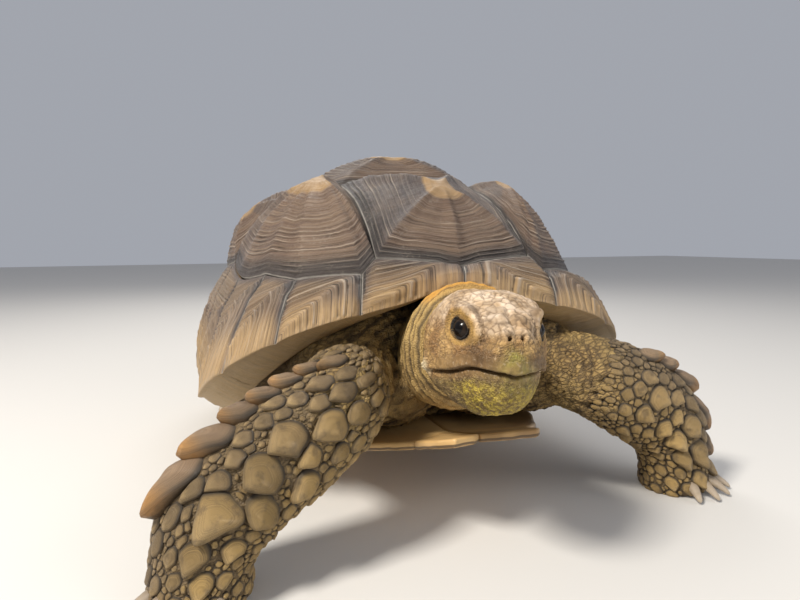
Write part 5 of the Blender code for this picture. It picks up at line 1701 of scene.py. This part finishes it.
def scale_horn():
    """Grey-brown horn, golden on the limb's inner side, its tip and rim rubbed to tan and darker
    round its foot; spurs are pinkish tan with an amber edge. Growth rings show as fine lines."""
    material, shader, net = finish_of("scale_horn", 0.5, Specular_IOR_Level=0.35)
    share, growth, tone, gold, spur, tip = (
        net.field(k) for k in ("share", "growth", "tone", "gold", "spur", "tip"))
    _, blotches, fine = net.use(GRAIN, Size=120)
    lines, _ = net.use(RING_LINES, Growth=growth)
    net.color = net.mix(net.span(blotches, 0.3, 0.7, 0, 0.7), SCALE_GREY, SCALE_TAN)
    net.lay(gold, SCALE_GOLD)
    worn = net.times(net.span(tip, -0.2, 0.9), net.span(blotches, 0.2, 0.7, 0.45, 0.95))
    net.lay(net.times(worn, 0.75), SCALE_TIP)
    net.lay(net.span(blotches, 0.5, 0.7, 0, 0.55), SCALE_BLOTCH)
    net.lay(spur, SPUR_TAN)
    net.lay(net.times(spur, net.span(tip, 0.3, 1.05)), SPUR_AMBER)
    net.shade(net.span(tone, -1, 1, 0.8, 1.18))
    outer = net.math("MAXIMUM", net.span(share, 0.25, 0.6, 0.25, 1), spur)
    pale = net.times(net.span(lines, 0.52, 0.68, 0, 0.4), outer)
    net.lay(pale, RING_PALE)
    dark = net.times(net.span(lines, 0.5, 0.38, 0, 0.9), outer)
    net.lay(dark, RING_DARK)
    # darker along the root edge of each scale
    foot = net.times(net.span(share, 0.7, 0.97), net.span(tip, 0.9, -0.3, 0.45, 0.98))
    net.lay(foot, SCALE_ROOT_DARK)
    net.feed(shader, Roughness=net.span(fine, 0.3, 0.7, 0.4, 0.58))
    relief = net.math("ADD", lines, net.times(fine, 0.4))
    net.dress(shader, relief, 0.8, 0.0012)
    return material


def facing(side, turn):
    """Turn round a foreleg measured from its front face towards its outer edge, -pi to pi."""
    turned = turn if side == "right" else FRONT_OF["left"] - turn
    return (turned + np.pi) % (2 * np.pi) - np.pi


# radius of a scale by the way along each foreleg's front
FRONT_SIZES = {"right": ((0.02, 0.003), (0.08, 0.005), (0.11, 0.0058), (0.15, 0.0058),
                         (0.2, 0.006), (0.235, 0.0052)),
               "left": ((0.082, 0.0018), (0.1, 0.0034), (0.114, 0.0056), (0.14, 0.0076),
                        (0.2, 0.007))}


def foreleg_size(side, along, turn):
    """Radius of a scale from where it lies on the foreleg."""
    phi = np.degrees(facing(side, turn))
    front = np.interp(along, *zip(*FRONT_SIZES[side]))
    behind = np.interp(along, (0.02, 0.1, 0.22), (0.0022, 0.0032, 0.0038))
    share = np.interp(phi, (-180, -110, -55, 80, 110, 150, 180), (0, 0.3, 1, 1, 0.9, 0.2, 0))
    return behind + (front - behind) * share


def foreleg_spur(side, along, turn, radius):
    """How far a scale is drawn out into a spur: the big ones on the outer edge of the forearm."""
    phi = np.degrees(facing(side, turn))
    return (ramp(along, 0.092, 0.02) * smooth((0.226 - along) / 0.01) * (radius > 0.0075)
            * np.exp(-(((phi - 76) / 22) ** 4)) * np.interp(along, (0.1, 0.19, 0.22), (0.55, 0.8, 0.9)))


def foreleg_gold(side, along, turn):
    """How golden a scale is: most on the inner side of the foreleg."""
    phi = np.degrees(facing(side, turn))
    return 0.2 + 0.8 * smooth((42 - phi) / 60) * ramp(phi, -150, 40)


def hindleg_size(length, along, turn):
    """Radius of a scale on the hindleg, larger at the foot and at the heel."""
    heel = np.clip(np.sin(turn), 0, 1) ** 2
    plain = np.interp(along, (0.01, 0.05, 0.1, length), (0.0026, 0.0036, 0.0046, 0.0056))
    return plain * (1 + 0.35 * heel)


def hindleg_spur(along, turn, radius):
    """The scales of the heel stand out a little."""
    return 0.25 * ramp(along, 0.06, 0.04) * np.clip(np.sin(turn), 0, 1) ** 2


SCALE_HORN = scale_horn()
for side, big in (("right", RIGHT_BIG), ("left", LEFT_BIG)):
    limb, spots = FORELEGS[side], np.array(big) * (0.001, np.pi / 180, 0.001)
    spots[:, 1] = spots[:, 1] if side == "right" else FRONT_OF["left"] - spots[:, 1]
    places = scattered(limb, lambda *place: foreleg_size(side, *place), spots, 71 + len(side),
                       SCALES_FROM[side])
    scales(f"foreleg_{side}_scales", limb, COAT["foreleg"], places,
           lambda *place: foreleg_spur(side, *place), lambda *place: foreleg_gold(side, *place),
           SCALE_HORN)

for side, limb in HINDLEGS.items():
    places = scattered(limb, lambda *place: hindleg_size(limb.length, *place), np.zeros((0, 3)),
                       81 + len(side), 0.012)
    scales(f"hindleg_{side}_scales", limb, COAT["hindleg"], places,
           hindleg_spur, lambda along, turn: 0.35 + 0.3 * np.cos(turn) ** 2, SCALE_HORN)

places = scattered(TAIL, lambda along, turn: np.interp(along, (0.03, 0.08, 0.14), (0.0034, 0.003, 0.0018)),
                   np.zeros((0, 3)), 91, 0.034, (3000, 2600))
scales("tail_scales", TAIL, COAT["tail"], places, lambda along, turn, radius: 0.12 + 0 * along,
       lambda along, turn: 0.5 + 0 * along, SCALE_HORN)

# ---- claws and thigh spurs ----
# Five blunt digging claws on each forefoot and four on each hindfoot, thick horn with rings
# where it grew, and three horn cones at the back of each thigh.
CLAW_BROWN, CLAW_PALE = (0.215, 0.165, 0.115), (0.4, 0.32, 0.23)
CLAW_DARK, CLAW_TAN = (0.085, 0.062, 0.043), (0.3, 0.225, 0.14)
# steps round the foot, middle and step in degrees, base and tip as (distance, height), half width
FORE_CLAWS = ((-2, -1, 0, 1, 2), 30, 24, (0.018, 0.013), (0.046, 0.0025), 0.0062)
HIND_CLAWS = ((-1.5, -0.5, 0.5, 1.5), 12, 25, (0.026, 0.012), (0.049, 0.003), 0.0064)
# way along the thigh, degrees round it, half width, length
THIGH_SPURS = ((0.052, 62, 0.0065, 0.016), (0.046, 96, 0.0055, 0.013), (0.066, 84, 0.0048, 0.011))


def horn_cone(base, tip, width, arch, flat=0.86, rings=40, points=24):
    """Rounded sections along an arched line: the radius falls as 1 - 0.72 s^1.7 and closes in a
    blunt end, with growth rings as fine waves."""
    s = np.linspace(0, 1, rings)
    way = unit(tip - base)
    beside = unit(np.cross(way, (0, 0, 1.0)))
    up = np.cross(beside, way)
    centre = base + (tip - base) * s[:, None] + up * (arch * 4 * s * (1 - s))[:, None]
    blunt = np.sqrt(np.clip(1 - np.clip((s - 0.9) / 0.101, 0, 1) ** 2, 0, 1))
    radius = width * (1 - 0.72 * s**1.7) * blunt
    radius *= 1 + 0.03 * np.sin(s * 34 + 1.5 * np.sin(s * 9)) * (1 - s)
    turn = np.arange(points) / points * 2 * np.pi
    c, d = np.cos(turn), np.sin(turn) * np.where(np.sin(turn) < 0, 0.72, 1.0) * flat
    rows = centre[:, None] + radius[:, None, None] * (c[:, None] * beside + d[:, None] * up)
    body = facing_out(*wrapped(rows))
    return body, np.append(np.repeat(s, points), [0, 1])


def claw_horn():
    """Brown at the root and paler to the tip, with dark rings and tan blotches."""
    material, shader, net = finish_of("claw_horn", 0.42, Specular_IOR_Level=0.45)
    along = net.field("along")
    _, blotches, fine = net.use(GRAIN, Size=150)
    rings, _ = net.use(RING_LINES, Growth=net.times(along, 9))
    net.color = net.mix(net.span(along, 0.15, 0.95), CLAW_BROWN, CLAW_PALE)
    net.lay(net.span(rings, 0.48, 0.28, 0, 0.55), CLAW_DARK)
    net.lay(net.span(blotches, 0.5, 0.7, 0, 0.5), CLAW_TAN)
    relief = net.math("ADD", rings, net.times(fine, 0.4))
    net.dress(shader, relief, 0.45, 0.0007)
    return material


def horn_set(name, cones, material):
    """One object from cones of horn."""
    bodies, alongs = zip(*(horn_cone(*cone) for cone in cones))
    for points, _ in bodies:
        points[:, 2] = np.maximum(points[:, 2], -CLEARANCE + 0.0003)
    solid(name, list(bodies), material, (), {"along": np.concatenate(alongs)})


def claws(foot, side, numbers, middle, step, base, tip, width):
    """Cones fanned out round the front of a foot."""
    cones = []
    for k in numbers:
        a = math.radians(middle + step * k)
        way = np.array([side * math.sin(a), -math.cos(a), 0])
        ends = [foot + way * reach + (0, 0, height) for reach, height in (base, tip)]
        cones.append((*ends, width, 0.0022))
    return cones


CLAW_HORN = claw_horn()
for side, word in ((1, "left"), (-1, "right")):
    for leg, foot, fan in (("foreleg", FORE_FEET[word], FORE_CLAWS),
                           ("hindleg", HINDLEG_ROWS[-1][:3], HIND_CLAWS)):
        horn_set(f"{leg}_{word}_claws", claws(np.array(foot) * (side, 1, 1), side, *fan), CLAW_HORN)
    limb, cones = HINDLEGS[word], []
    for along, turn, width, length in THIGH_SPURS:
        turn = math.radians(turn if side > 0 else 180 - turn)
        spot = np.array(along), np.array(turn)
        base, way = limb.at(*spot, -0.004), limb.normal(*spot)
        cones.append((base, base + unit(way + (0, 0.3, -0.5)) * (length + 0.004), width, 0.0008))
    horn_set(f"thigh_spurs_{word}", cones, CLAW_HORN)
